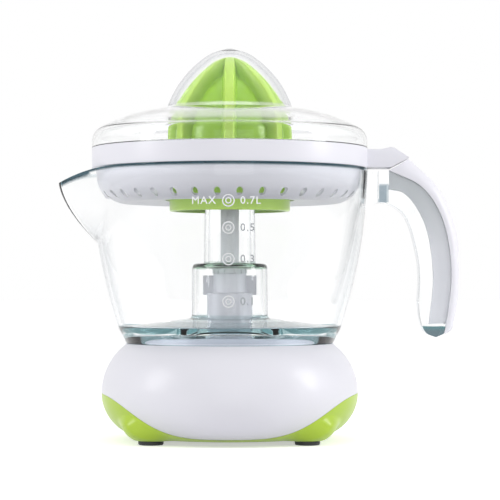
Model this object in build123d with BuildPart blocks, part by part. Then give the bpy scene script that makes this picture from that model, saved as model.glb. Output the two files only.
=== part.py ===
from build123d import *
import os
from math import acos, asin, cos, degrees, pi, radians, sin, sqrt, tan

# Citrus press juicer. All sizes in mm, +Z up, the feet stand on z = 0.
# Sizes along the spindle are heights above the table; sketch x is measured from the spindle.

# Overall sizes, seen from the front
spout_reach = 88.2
handle_reach = 117.9
base_r = 65.9
seat_z = 49.6
jug_rim_r = 71.2
jug_rim_z = 139.4
axis_x = (spout_reach - handle_reach) / 2

# Fits, and the room that cuts and joins take past a face
part_gap = 0.15
run_gap = 0.05
peg_gap = 0.1
sink = 0.5
over = 1.0
clear = 9.0
long_edge = 20.0
edge_play = 0.01

# Base: a bulb in two shells, parted along a wave
waist_z = 24.5
bulb_low_arc = 22.5
bulb_top_arc = 30.9
base_wall = 2.4
plateau_r = base_r - 16.7
plateau_z = seat_z + 4.9
wave_low_z = 3.8
wave_high_z = 24.4
wave_power = 1.8
wave_steps = 6
tray_plate_r = 47.5

# Rubber feet and their bosses
foot_r = 6.35
foot_h = 2.2
foot_x = 39.0
foot_y = 33.0
foot_boss_r = 7.4
foot_boss_top_r = 14.6
foot_boss_h = 8.0
foot_boss_toe = (4.4, 2.6)
foot_boss_edge_r = 2.4
foot_stem_r = 2.5
foot_stem_h = 4.0
foot_stem_roof = 2.0
foot_stem_room = 0.2
foot_edge_r = 0.8

# Spindle and its bearings
spindle_r = 4.75
spindle_bottom_z = 18.0
spindle_hex = 8.0
spindle_hex_z = jug_rim_z - 21.4
spindle_top_z = jug_rim_z + 10.6
spindle_chamfer = 0.8
bush_r = spindle_r + 1.75
bush_len = 12.0
bush_flange_r = bush_r + 1.9
bush_flange_h = 1.6
bush_stand = 2.0
washer_t = 1.0
seal_h = 2.2
retainer_r = bush_r + 2.4
retainer_h = 2.6
retainer_gap = 0.6
notch_count = 14
notch_depth = 1.2
notch_w = 1.4

# Bearing boss that stands up into the jug's tower, sized from the bush it carries
boss_bore_r = bush_flange_r + 0.8
boss_r = boss_bore_r + 2.5
boss_shoulder_z = seat_z + 26.0
boss_neck_r = bush_r + 2.0
boss_top_z = boss_shoulder_z + 10.0
fin_r = boss_r + 2.0
fin_w = 1.8

# Gear train
mod_fast = 0.8
mod_slow = 1.0
pinion_teeth = 12
idler_big_teeth = 44
idler_small_teeth = 12
output_teeth = 40
motor_out = 33.0
gear_backlash = 0.16
pressure_angle = 20.0
addendum = 0.9
dedendum = 1.2
root_taper = 0.82
pinion_t = 5.0
pinion_drop = 0.4
plate_z = 30.0
plate_t = 2.0
plate_r = 45.0
idler_big_z = 33.0
idler_big_t = 4.0
idler_small_top_z = 48.0
output_z = 40.5
output_t = 6.0
output_hub_r = 8.0
output_hub_top_z = 50.6
axle_r = 2.0
axle_top_z = 49.8
axle_collar_r = 3.6
clip_w = 1.8
clip_t = 0.7
clip_gap = 0.3
clip_mouth = 2.0

# Motor
motor_r = 17.0
motor_bottom_z = 8.6
motor_wall = 1.2
motor_nose_r = 4.0
motor_nose_h = 1.8
rotor_r = 12.4
rotor_h = 13.0
motor_shaft_r = 1.5
end_cap_h = 2.0
end_cap_plug = 1.5
shaft_end_gap = 0.2
motor_shaft_top_z = 38.4
rotor_lift = 4.0
rotor_poles = 5
rotor_slot = (4.4, 1.6)
rotor_slot_in = 2.0
rotor_pocket = (4.0, 5.0)
rotor_pocket_in = 4.4
air_gap = 0.5
magnet_gap = 7.0
terminal = (1.0, 5.0, 1.4)
terminal_x = 9.0
vent_count = 5
vent_pitch = 5.0
vent_len = 16.0
vent_w = 2.2

# Screw posts under the deck
post_r = 4.0
post_front_x = 16.0
post_front_y = 40.0
post_side_x = 43.0
post_side_y = 8.0
post_bottom_z = 8.0
screw_r = 1.5
screw_head_r = 2.8
screw_head_h = 2.0
screw_play = 0.2
head_play = 0.3
screw_sink = 0.6
tray_screw_len = 15.0
plate_screw_len = 10.0
motor_screw_len = 4.0
motor_screw_out = 8.5
motor_head_r = 2.3
motor_head_h = 1.4
plate_post_x = 24.0
plate_post_front_y = 20.0
plate_post_back_y = 23.0

# Press switch under the spindle
cup_r = 7.0
cup_h = 5.0
cup_floor = 2.5
stem_r = 3.0
stem_len = 7.5
guide_r = 4.2
guide_h = 6.4
stem_play = 0.3
spring_r = 5.15
spring_wire_r = 0.55
spring_turns = 5
arm_reach = 16.5
arm_w = 6.0
arm_t = 2.0
switch_x = 16.5
switch_len = 16.0
switch_w = 6.4
switch_h = 7.6
plunger_r = 1.2
plunger_x = 14.0
plunger_len = 5.4
plunger_pit = 2.4
switch_lift = 0.4
nest_wall = 1.8
nest_h = 5.0

# Cord inlet at the back, for a flat two-core cord
inlet_z = 15.0
inlet_w = 9.0
inlet_h = 6.4
cord_w = 5.6
cord_h = 3.4
inlet_depth = 16.0
gland_lip = 1.5
gland_proud = 1.6

# Jug
jug_wall = 2.2
jug_foot_r = plateau_r + 4.0
jug_foot_z = seat_z
jug_shoulder_r = jug_foot_r + 3.8
jug_shoulder_z = seat_z + 7.4
jug_belly = 0.5986
jug_mid_r = jug_shoulder_r + jug_belly * (jug_rim_r - jug_shoulder_r)
jug_mid_z = seat_z + 39.4
jug_foot_t = 3.0
floor_wall_z = seat_z + 8.8
floor_tower_z = seat_z + 13.2
floor_t = 2.6
tower_r = fin_r + 5.6
tower_shoulder_z = boss_top_z + 5.2
tower_wall = 2.0
tower_draft = 0.3
tower_edge_r = 2.5
tower_foot_edge_r = 2.2
floor_edge_r = 3.0
tube_r = 13.3
tube_top_r = 12.8
tube_top_z = jug_rim_z - 15.4
tube_wall = 2.1
tube_edge_r = 1.0
spout_tip_z = jug_rim_z - 7.3
spout_root_z = jug_rim_z - 39.4
spout_nose_r = 5.0
spout_dip_x = 52.0
spout_dip_power = 2.2
spout_swell = 1.45
spout_thin = 0.8
spout_sink = 0.4
spout_lift = 0.6
spout_steps = 6

# Handle, cut from one outline in the side plane
handle_w = 18.0
handle_wall = 2.2
handle_gap = 0.25
finger_edge_r = 3.2
back_edge_r = 3.0
handle_root = 4.0
rib_pocket_in = 2.2
rib_pocket_w = 2.9
rib_pocket_drop = 15.8

# Strainer
band_r = jug_rim_r - 0.4
band_top_z = jug_rim_z + 10.4
bowl_r = jug_rim_r - 3.2
bowl_wall = 2.2
bowl_floor_z = jug_rim_z - 17.6
bowl_floor_r = bowl_r - 11.5
bowl_corner = (bowl_r - 5.0, bowl_floor_z + 3.4)
bowl_corner_in = (0.75, 0.7)
band_step = 4.0
bowl_side_r = bowl_r - 0.8
bowl_side_z = jug_rim_z - 6.4
strainer_hole_r = 33.2
strainer_lip_h = 3.0
slot_count = 36
slot_w = 2.4
slot_len = 4.2
slot_r = bowl_r - 4.8
slot_z = bowl_floor_z + 3.6
slot_lean = 58.0
slot_depth = 5.0
tab_top_z = band_top_z - 0.7
tab_peak_x = jug_rim_r + 12.1
tab_peak_z = band_top_z + 0.6
tab_rise = 6.0
tab_edge_r = 3.0
tab_gap = 0.3
tab_toe = 3.0
tab_back = 7.0
tab_roof = 3.4

# Juicing cone
rib_count = 7
rib_w = 5.8
rib_r = strainer_hole_r - 0.7
rib_edge_r = 1.6
cone_apex_z = band_top_z + 46.8
cone_tip_r = 6.0
cone_tip_flat = 0.08
cone_skirt_z = band_top_z + 14.8
cone_shape_z = band_top_z + 35.0
cone_swell = 0.57
rib_start = 1.0
rib_tip_drop = 0.6
valley_depth = 5.2
valley_apex_z = band_top_z + 41.2
valley_swell = 0.8
valley_drop = 4.0
cone_wall = 2.0
collar_r = strainer_hole_r - 2.2
collar_bottom_z = bowl_floor_z - 4.3
collar_top_z = bowl_floor_z + 6.7
collar_edge_r = 1.6
collar_wall = 2.2
collar_step = 2.0
hub_r = 7.4
hub_bottom_z = collar_top_z - 0.5
hub_roof = 1.4
hub_sink = 0.3
hex_gap = 0.05
web_t = 1.6
web_lift = 8.0
web_count = 4
web_turn = 45.0

# Dust cover
cover_r = band_r
cover_wall = 1.8
cover_top_z = band_top_z + 51.5
cover_neck_r = rib_r - 0.4
cover_neck_z = band_top_z + 20.0
cover_neck_w = 1.6
cover_neck_h = 1.4
cover_side_z = band_top_z + 3.4
cover_side_arc = 7.75
cover_side_turn = 60.0
cover_crown = (13.4, band_top_z + 46.5)
gate_r = 2.8
gate_h = 0.4
cover_lip_h = 4.0
cover_lip_gap = 0.3
cover_lip_set = 0.6

# Derived places
upward = (Align.CENTER, Align.CENTER, Align.MIN)
side = Plane((axis_x, 0, 0), x_dir=(1, 0, 0), z_dir=(0, -1, 0))
spindle_axis = Axis((axis_x, 0, 0), (0, 0, 1))
deck_z = plateau_z - base_wall
floor_z = foot_h + base_wall
plate_top_z = plate_z + plate_t
fast_centres = mod_fast * (pinion_teeth + idler_big_teeth) / 2
slow_centres = mod_slow * (idler_small_teeth + output_teeth) / 2
idler_y = (slow_centres**2 - fast_centres**2 + motor_out**2) / (2 * motor_out)
idler_x = sqrt(slow_centres**2 - idler_y**2)
tray_posts = [(post_front_x, -post_front_y), (-post_front_x, -post_front_y)]
tray_posts += [(post_side_x, post_side_y), (-post_side_x, post_side_y)]
plate_posts = [(plate_post_x, -plate_post_front_y), (-plate_post_x, -plate_post_front_y)]
plate_posts += [(-plate_post_x, plate_post_back_y)]
feet_at = [(foot_x * i, foot_y * j) for i in (-1, 1) for j in (-1, 1)]
cup_floor_z = spindle_bottom_z - cup_floor
bush_bore_r = spindle_r + run_gap
rotor_z = motor_bottom_z + rotor_lift
head_top_z = foot_h + screw_sink + screw_head_h


def level(z):
    return Plane((axis_x, 0, z))


def spots(points, z):
    return Locations(*[(axis_x + x, y, z) for x, y in points])


def upright(points):
    # a closed outline of straight lines in the side plane
    with BuildSketch(side, mode=Mode.PRIVATE) as outline:
        with BuildLine():
            Polyline(*points, close=True)
        make_face()
    return outline.sketch


def ring(inner, outer, low, high):
    return upright([(inner, low), (outer, low), (outer, high), (inner, high)])


def inset_points(points, wall):
    # the same open outline moved to its inner side by the wall thickness
    moved = []
    for i, (x, z) in enumerate(points):
        x0, z0 = points[max(i - 1, 0)]
        x1, z1 = points[min(i + 1, len(points) - 1)]
        run = sqrt((x1 - x0) ** 2 + (z1 - z0) ** 2)
        if x == 0:
            moved.append((0, z - wall))
        else:
            moved.append((x - wall * (z1 - z0) / run, z + wall * (x1 - x0) / run))
    return moved


def bulb(inset):
    # half section of the base, two arcs that meet upright at the waist
    low_arc = bulb_low_arc - inset
    top_arc = bulb_top_arc - inset
    low_t = degrees(asin((waist_z - foot_h - inset) / low_arc))
    top_t = degrees(asin((seat_z - inset - waist_z) / top_arc))
    with BuildSketch(side, mode=Mode.PRIVATE) as outline:
        with BuildLine():
            low = CenterArc((base_r - bulb_low_arc, waist_z), low_arc, -low_t, low_t)
            top = CenterArc((base_r - bulb_top_arc, waist_z), top_arc, 0, top_t)
            Polyline(top @ 1, (0, seat_z - inset), (0, foot_h + inset), low @ 0)
        make_face()
    return outline.sketch


def bulb_r(z, inset):
    # radius of the lower bulb at a height
    return base_r - bulb_low_arc + sqrt((bulb_low_arc - inset) ** 2 - (waist_z - z) ** 2)


def wave_region(shift):
    # everything under the wave, moved down by the shift
    points = []
    for i in range(-wave_steps - 1, wave_steps + 2):
        u = min(abs(i) / wave_steps, 1.0)
        rise = (1 - cos(pi * u**wave_power)) / 2
        height = wave_low_z + (wave_high_z - wave_low_z) * rise
        points.append((base_r * i / wave_steps, height - shift))
    with BuildSketch(side, mode=Mode.PRIVATE) as region:
        with BuildLine():
            crest = Spline(*points)
            Polyline(crest @ 1, ((crest @ 1).X, -clear), ((crest @ 0).X, -clear), crest @ 0)
        make_face()
    with BuildPart(mode=Mode.PRIVATE) as block:
        extrude(region.sketch, amount=base_r + clear, both=True)
    return block.part


def involute(angle):
    return tan(angle) - angle


def gear_blank(plane, module, teeth, start):
    # spur gear outline with involute flanks and a little backlash
    lean = radians(pressure_angle)
    pitch = module * teeth / 2
    base = pitch * cos(lean)
    root = pitch - dedendum * module
    tip = pitch + addendum * module
    half = (pi / 2 - gear_backlash) / teeth
    flank = []
    for r in (base, (base + pitch) / 2, pitch, (pitch + tip) / 2, tip):
        flank.append((r, half + involute(lean) - involute(acos(base / r))))
    if root < base:
        flank.insert(0, (root - run_gap, flank[0][1] * root_taper))
    else:
        flank = [(root - run_gap, flank[0][1])] + [f for f in flank if f[0] > root]
    tooth = [(r * cos(a), r * sin(a)) for r, a in flank]
    tooth += [(x, -y) for x, y in reversed(tooth)]
    with BuildSketch(plane, mode=Mode.PRIVATE) as blank:
        Circle(root)
        with PolarLocations(0, teeth, start_angle=start):
            Polygon(*tooth, align=None)
    return blank.sketch


def circle_through(a, b, c):
    # centre and radius of the circle through three points of an outline
    d = 2 * (a[0] * (b[1] - c[1]) + b[0] * (c[1] - a[1]) + c[0] * (a[1] - b[1]))
    sa = a[0] ** 2 + a[1] ** 2
    sb = b[0] ** 2 + b[1] ** 2
    sc = c[0] ** 2 + c[1] ** 2
    x = (sa * (b[1] - c[1]) + sb * (c[1] - a[1]) + sc * (a[1] - b[1])) / d
    z = (sa * (c[0] - b[0]) + sb * (a[0] - c[0]) + sc * (b[0] - a[0])) / d
    return x, z, sqrt((a[0] - x) ** 2 + (a[1] - z) ** 2)


jug_low = (jug_shoulder_r, jug_shoulder_z)
jug_mid = (jug_mid_r, jug_mid_z)
jug_high = (jug_rim_r, jug_rim_z)
jug_cx, jug_cz, jug_arc = circle_through(jug_low, jug_mid, jug_high)


def jug_wall_r(z):
    return jug_cx + sqrt(jug_arc**2 - (z - jug_cz) ** 2)


def spout_section(z, inset):
    # teardrop slice of the spout: its nose and the two points where it leaves the round wall
    share = min((z - spout_root_z) / (spout_tip_z - spout_root_z), 1.0)
    wall = jug_wall_r(min(z, jug_rim_z))
    nose = wall + (spout_reach - wall) * (1 - (1 - share) ** spout_swell) - inset
    wall = wall - inset - spout_sink
    nose_r = spout_nose_r - spout_thin * inset
    turn = acos(min((wall - nose_r) / (nose - nose_r), 1.0))
    with BuildSketch(level(z), mode=Mode.PRIVATE) as cut:
        with BuildLine():
            CenterArc((-nose + nose_r, 0), nose_r, 0, 360)
            Line((-wall * cos(turn), wall * sin(turn)), (-wall * cos(turn), -wall * sin(turn)))
        make_hull()
    return cut.sketch


def grip(share, drop):
    # a point of the handle: share of its reach beyond the rim, drop below the rim
    return (jug_rim_r + share * (handle_reach - jug_rim_r), jug_rim_z - drop)


part_low = grip(0.222, 0.5)
part_high = grip(0.45, -5.2)
grip_back = [part_high, grip(0.797, 11.7), grip(0.970, 33.1)]
grip_back += [grip(1.0, 52.0), grip(0.985, 68.0), grip(0.935, 80.0)]
grip_seam = [grip(0.22, 1.2), grip(0.576, 9.5), grip(0.797, 25.0)]
grip_seam += [grip(0.90, 50.0), grip(0.87, 72.0), grip(0.82, 84.8)]
grip_web = [grip(0.22, 11.0), grip(0.385, 13.0), grip(0.600, 27.5), grip(0.700, 54.0), grip(0.655, 79.6)]
grip_front = [grip(-0.05, 23.0), grip(0.06, 18.2), grip(0.17, 17.6), grip(0.386, 23.5), grip(0.53, 43.5)]
grip_front += [grip(0.559, 56.0), grip(0.548, 70.0), grip(0.576, 79.6), grip(0.63, 84.4), grip(0.73, 86.4)]
spout_rise = (jug_rim_z + spout_lift - spout_root_z) / spout_steps
spout_levels = [spout_root_z + spout_lift + i * spout_rise for i in range(spout_steps + 1)]
spout_dip = []
for i in range(spout_steps + 1):
    run = spout_dip_x + (spout_reach + 2 * over - spout_dip_x) * i / spout_steps
    share = (run - spout_dip_x) / (spout_reach - spout_dip_x)
    drop = (jug_rim_z - spout_tip_z) * share**spout_dip_power
    spout_dip.append((-run, jug_rim_z - drop))


# Upper shell of the base: bulb, deck, bearing boss and screw posts in one white moulding
with BuildPart() as base_housing:
    revolve(bulb(0), axis=spindle_axis)
    revolve(bulb(base_wall), axis=spindle_axis, mode=Mode.SUBTRACT)
    add(wave_region(-part_gap), mode=Mode.SUBTRACT)
    revolve(ring(0, tray_plate_r + part_gap, 0, floor_z + over), axis=spindle_axis, mode=Mode.SUBTRACT)
    revolve(ring(0, plateau_r, seat_z - base_wall, plateau_z), axis=spindle_axis)
    under_deck = ring(0, plateau_r - base_wall, seat_z - 2 * base_wall, deck_z)
    revolve(under_deck, axis=spindle_axis, mode=Mode.SUBTRACT)
    revolve(ring(0, boss_r, deck_z, boss_shoulder_z), axis=spindle_axis)
    revolve(ring(0, boss_neck_r, boss_shoulder_z, boss_top_z), axis=spindle_axis)
    with BuildSketch(level(boss_shoulder_z - over)):
        Rectangle(2 * fin_r, fin_w)
        Circle(boss_neck_r - over, mode=Mode.SUBTRACT)
    extrude(amount=boss_top_z - boss_shoulder_z)
    with spots(tray_posts, post_bottom_z):
        Cylinder(post_r, deck_z - post_bottom_z + over, align=upward)
    with spots(plate_posts, plate_top_z):
        Cylinder(post_r, deck_z - plate_top_z + over, align=upward)
    bore = ring(0, boss_bore_r, deck_z - over, boss_top_z - bush_len)
    revolve(bore, axis=spindle_axis, mode=Mode.SUBTRACT)
    bush_seat = ring(0, bush_r, boss_top_z - bush_len - over, boss_top_z + over)
    revolve(bush_seat, axis=spindle_axis, mode=Mode.SUBTRACT)
    with spots(tray_posts, post_bottom_z - over):
        Cylinder(screw_r, tray_screw_len, align=upward, mode=Mode.SUBTRACT)
    with spots(plate_posts, plate_top_z - over):
        Cylinder(screw_r, plate_screw_len + over, align=upward, mode=Mode.SUBTRACT)
    with BuildSketch(Plane((axis_x, base_r + over, inlet_z), x_dir=(1, 0, 0), z_dir=(0, -1, 0))):
        SlotOverall(inlet_w, inlet_h)
    extrude(amount=inlet_depth, mode=Mode.SUBTRACT)
base_housing.part.label = "base_housing"

# Rounded toe that carries one rubber foot, drawn at the middle and copied to the corners
with BuildPart() as foot_boss:
    with BuildSketch(Plane.XZ) as toe:
        with BuildLine():
            toe_mid = (foot_boss_r + foot_boss_toe[0], foot_boss_toe[1])
            skin = ThreePointArc((foot_boss_r, 0), toe_mid, (foot_boss_top_r, foot_boss_h))
            Polyline(skin @ 1, (0, foot_boss_h), (0, 0), skin @ 0)
        make_face()
        fillet(toe.vertices().sort_by_distance((foot_boss_top_r, foot_boss_h, 0))[0], foot_boss_edge_r)
    revolve(axis=Axis.Z)

# Lower tray: the green part of the bulb with foot bosses, spring guide and switch nest
with BuildPart() as base_tray:
    revolve(bulb(0), axis=spindle_axis)
    with spots(feet_at, foot_h):
        add(foot_boss.part)
    revolve(bulb(base_wall), axis=spindle_axis, mode=Mode.SUBTRACT)
    add(wave_region(0), mode=Mode.INTERSECT)
    revolve(ring(0, tray_plate_r, foot_h, floor_z), axis=spindle_axis)
    with spots(feet_at, foot_h):
        Cylinder(foot_boss_r - over, foot_stem_h + foot_stem_roof, align=upward)
    with spots(tray_posts, floor_z - sink):
        Cylinder(post_r, post_bottom_z - floor_z + sink, align=upward)
    revolve(ring(0, guide_r, floor_z - sink, floor_z + guide_h), axis=spindle_axis)
    guide_bore = ring(0, stem_r + stem_play, floor_z, floor_z + guide_h + over)
    revolve(guide_bore, axis=spindle_axis, mode=Mode.SUBTRACT)
    with Locations((axis_x - switch_x, 0, floor_z - sink)):
        Box(switch_len, switch_w + 2 * nest_wall, nest_h, align=upward)
    with Locations((axis_x - switch_x, 0, floor_z + switch_lift)):
        Box(switch_len + 2 * over, switch_w + 2 * peg_gap, nest_h, align=upward, mode=Mode.SUBTRACT)
    with spots(feet_at, 0):
        stem_hole_h = foot_h + foot_stem_h + foot_stem_room
        Cylinder(foot_stem_r + run_gap, stem_hole_h, align=upward, mode=Mode.SUBTRACT)
    with spots(tray_posts, 0):
        Cylinder(screw_r + screw_play, post_bottom_z + over, align=upward, mode=Mode.SUBTRACT)
        Cylinder(screw_head_r + head_play, head_top_z, align=upward, mode=Mode.SUBTRACT)
    with BuildSketch(Plane((axis_x, motor_out, 0))):
        with GridLocations(vent_pitch, 0, vent_count, 1):
            SlotOverall(vent_len, vent_w, rotation=90)
    extrude(amount=floor_z + over, mode=Mode.SUBTRACT)
base_tray.part.label = "base_tray"

# Rubber feet, one group of four
with BuildPart() as rubber_feet:
    with spots(feet_at, 0):
        Cylinder(foot_r, foot_h, align=upward)
    with spots(feet_at, foot_h):
        Cylinder(foot_stem_r, foot_stem_h, align=upward)
    edges_low = rubber_feet.edges().filter_by(GeomType.CIRCLE).group_by(Axis.Z)[0]
    fillet(edges_low, foot_edge_r)
rubber_feet.part.label = "rubber_feet"

# Screws that hold the tray to the housing
with BuildPart() as tray_screws:
    with spots(tray_posts, head_top_z - screw_head_h):
        Cylinder(screw_head_r, screw_head_h, align=upward)
    with spots(tray_posts, head_top_z):
        Cylinder(screw_r - run_gap, tray_screw_len, align=upward)
tray_screws.part.label = "tray_screws"

# Oval rubber bush for the cord in the back wall
with BuildPart() as cord_gland:
    low_r = bulb_r(inlet_z - inlet_h / 2 - gland_lip, base_wall)
    lip_y = sqrt(low_r**2 - (inlet_w / 2 + gland_lip) ** 2)
    back = Plane((axis_x, lip_y, inlet_z), x_dir=(1, 0, 0), z_dir=(0, 1, 0))
    with BuildSketch(back):
        SlotOverall(inlet_w - 2 * peg_gap, inlet_h - 2 * peg_gap)
    extrude(amount=bulb_r(inlet_z, 0) + gland_proud - lip_y)
    with BuildSketch(back):
        SlotOverall(inlet_w + 2 * gland_lip, inlet_h + 2 * gland_lip)
    extrude(amount=-gland_lip)
    with BuildSketch(back):
        SlotOverall(cord_w, cord_h)
    extrude(amount=inlet_depth, both=True, mode=Mode.SUBTRACT)
cord_gland.part.label = "cord_gland"

# Gearbox plate: carries motor, idler axle and lower bush
motor_spot = (0, motor_out)
idler_spot = (idler_x, idler_y)
screw_dir = ((motor_out - idler_y) / fast_centres, idler_x / fast_centres)
motor_screw_spots = []
for way in (-motor_screw_out, motor_screw_out):
    motor_screw_spots.append((way * screw_dir[0], motor_out + way * screw_dir[1]))
with BuildPart() as gearbox_plate:
    with BuildSketch(level(plate_z)):
        Circle(plate_r)
        Circle(bush_r, mode=Mode.SUBTRACT)
        with Locations(*tray_posts):
            Circle(post_r + over, mode=Mode.SUBTRACT)
        with Locations(motor_spot):
            Circle(motor_nose_r + peg_gap, mode=Mode.SUBTRACT)
        with Locations(idler_spot):
            Circle(axle_r, mode=Mode.SUBTRACT)
        with Locations(*plate_posts):
            Circle(screw_r + screw_play, mode=Mode.SUBTRACT)
        with Locations(*motor_screw_spots):
            Circle(screw_r + screw_play, mode=Mode.SUBTRACT)
    extrude(amount=plate_t)
gearbox_plate.part.label = "gearbox_plate"

with BuildPart() as plate_screws:
    with spots(plate_posts, plate_z - screw_head_h):
        Cylinder(screw_head_r, screw_head_h, align=upward)
    with spots(plate_posts, plate_z):
        Cylinder(screw_r - run_gap, plate_screw_len, align=upward)
plate_screws.part.label = "plate_screws"

# Motor
with BuildPart() as motor_can:
    with Locations((axis_x, motor_out, motor_bottom_z)):
        Cylinder(motor_r, plate_z - motor_bottom_z, align=upward)
        room_h = plate_z - motor_bottom_z - motor_wall
        Cylinder(motor_r - motor_wall, room_h, align=upward, mode=Mode.SUBTRACT)
    with Locations((axis_x, motor_out, plate_z)):
        Cylinder(motor_nose_r, motor_nose_h, align=upward)
    with Locations((axis_x, motor_out, plate_z - motor_screw_len)):
        Cylinder(motor_shaft_r + run_gap, 2 * motor_screw_len, align=upward, mode=Mode.SUBTRACT)
    with spots(motor_screw_spots, plate_z - motor_screw_len):
        Cylinder(screw_r, 2 * motor_screw_len, align=upward, mode=Mode.SUBTRACT)
motor_can.part.label = "motor_can"

with BuildPart() as motor_magnets:
    with BuildSketch(Plane((axis_x, motor_out, rotor_z))):
        Circle(motor_r - motor_wall - run_gap)
        Circle(rotor_r + air_gap, mode=Mode.SUBTRACT)
        Rectangle(2 * motor_r, magnet_gap, mode=Mode.SUBTRACT)
    extrude(amount=rotor_h)
motor_magnets.part.label = "motor_magnets"

with BuildPart() as motor_end_cap:
    with Locations((axis_x, motor_out, motor_bottom_z - end_cap_h)):
        Cylinder(motor_r, end_cap_h, align=upward)
    with Locations((axis_x, motor_out, motor_bottom_z)):
        Cylinder(motor_r - motor_wall, end_cap_plug, align=upward)
        Cylinder(motor_shaft_r + run_gap, end_cap_h, align=upward, mode=Mode.SUBTRACT)
    with spots([(terminal_x, motor_out), (-terminal_x, motor_out)], motor_bottom_z - end_cap_h):
        Box(*terminal, align=(Align.CENTER, Align.CENTER, Align.MAX))
motor_end_cap.part.label = "motor_end_cap"

with BuildPart() as motor_screws:
    with spots(motor_screw_spots, plate_top_z):
        Cylinder(motor_head_r, motor_head_h, align=upward)
    with spots(motor_screw_spots, plate_top_z - motor_screw_len):
        Cylinder(screw_r - run_gap, motor_screw_len, align=upward)
motor_screws.part.label = "motor_screws"

with BuildPart() as motor_rotor:
    with BuildSketch(Plane((axis_x, motor_out, rotor_z))):
        Circle(rotor_r)
        with PolarLocations(rotor_r - rotor_slot_in, rotor_poles):
            Rectangle(*rotor_slot, mode=Mode.SUBTRACT)
        with PolarLocations(rotor_r - rotor_pocket_in, rotor_poles):
            Rectangle(*rotor_pocket, mode=Mode.SUBTRACT)
        Circle(motor_shaft_r, mode=Mode.SUBTRACT)
    extrude(amount=rotor_h)
motor_rotor.part.label = "motor_rotor"

with BuildPart() as motor_shaft:
    shaft_low_z = motor_bottom_z + shaft_end_gap
    with Locations((axis_x, motor_out, shaft_low_z)):
        Cylinder(motor_shaft_r, motor_shaft_top_z - shaft_low_z, align=upward)
motor_shaft.part.label = "motor_shaft"

# Gears: pinion, stepped idler and output gear
to_idler = degrees(asin((idler_y - motor_out) / fast_centres))
with BuildPart() as motor_pinion:
    pinion_plane = Plane((axis_x, motor_out, idler_big_z - pinion_drop))
    extrude(gear_blank(pinion_plane, mod_fast, pinion_teeth, to_idler), amount=pinion_t)
    with Locations((axis_x, motor_out, idler_big_z - over)):
        Cylinder(motor_shaft_r, pinion_t + 2 * over, align=upward, mode=Mode.SUBTRACT)
motor_pinion.part.label = "motor_pinion"

from_idler = to_idler + 180
to_output = -degrees(acos(-idler_x / slow_centres))
with BuildPart() as idler_gear:
    wheel_plane = Plane((axis_x + idler_x, idler_y, idler_big_z))
    wheel_turn = from_idler + 180 / idler_big_teeth
    extrude(gear_blank(wheel_plane, mod_fast, idler_big_teeth, wheel_turn), amount=idler_big_t)
    small_plane = wheel_plane.offset(idler_big_t)
    small_t = idler_small_top_z - idler_big_z - idler_big_t
    extrude(gear_blank(small_plane, mod_slow, idler_small_teeth, to_output), amount=small_t)
    with Locations((axis_x + idler_x, idler_y, idler_big_z - over)):
        bore_h = idler_small_top_z - idler_big_z + 2 * over
        Cylinder(axle_r + run_gap, bore_h, align=upward, mode=Mode.SUBTRACT)
idler_gear.part.label = "idler_gear"

with BuildPart() as idler_axle:
    with Locations((axis_x + idler_x, idler_y, plate_z)):
        Cylinder(axle_r, axle_top_z - plate_z, align=upward)
    with Locations((axis_x + idler_x, idler_y, plate_top_z)):
        Cylinder(axle_collar_r, idler_big_z - plate_top_z - peg_gap, align=upward)
idler_axle.part.label = "idler_axle"

with BuildPart() as axle_clip:
    with BuildSketch(Plane((axis_x + idler_x, idler_y, idler_small_top_z + clip_gap))):
        Circle(axle_r + clip_w)
        Circle(axle_r, mode=Mode.SUBTRACT)
        with Locations((axle_r + clip_w / 2, 0)):
            Rectangle(2 * clip_w, clip_mouth, mode=Mode.SUBTRACT)
    extrude(amount=clip_t)
axle_clip.part.label = "axle_clip"

with BuildPart() as output_gear:
    output_turn = to_output + 180 + 180 / output_teeth
    extrude(gear_blank(level(output_z), mod_slow, output_teeth, output_turn), amount=output_t)
    revolve(ring(0, output_hub_r, output_z, output_hub_top_z), axis=spindle_axis)
    hub_bore = ring(0, spindle_r, output_z - over, output_hub_top_z + over)
    revolve(hub_bore, axis=spindle_axis, mode=Mode.SUBTRACT)
output_gear.part.label = "output_gear"

# Spindle: round in its bushes, hexagonal where the cone sits
with BuildPart() as spindle:
    revolve(ring(0, spindle_r, spindle_bottom_z, spindle_hex_z), axis=spindle_axis)
    with BuildSketch(level(spindle_hex_z)):
        RegularPolygon(spindle_hex / 2, 6, major_radius=False)
    extrude(amount=spindle_top_z - spindle_hex_z)
    chamfer(spindle.faces().sort_by(Axis.Z)[-1].edges(), spindle_chamfer)
spindle.part.label = "spindle"

with BuildPart() as upper_bush:
    bush_low_z = boss_top_z - bush_len
    revolve(ring(bush_bore_r, bush_r, bush_low_z, boss_top_z - seal_h), axis=spindle_axis)
    revolve(ring(bush_bore_r, bush_flange_r, bush_low_z - bush_flange_h, bush_low_z), axis=spindle_axis)
upper_bush.part.label = "upper_bush"

with BuildPart() as lower_bush:
    revolve(ring(bush_bore_r, bush_r, plate_z, plate_top_z + bush_stand), axis=spindle_axis)
    revolve(ring(bush_bore_r, bush_flange_r, plate_z - bush_flange_h, plate_z), axis=spindle_axis)
lower_bush.part.label = "lower_bush"

with BuildPart() as thrust_washer:
    washer_top_z = output_hub_top_z + washer_t
    revolve(ring(bush_bore_r, output_hub_r, output_hub_top_z, washer_top_z), axis=spindle_axis)
thrust_washer.part.label = "thrust_washer"

with BuildPart() as spindle_seal:
    revolve(ring(bush_bore_r, bush_r, boss_top_z - seal_h, boss_top_z), axis=spindle_axis)
spindle_seal.part.label = "spindle_seal"

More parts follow.
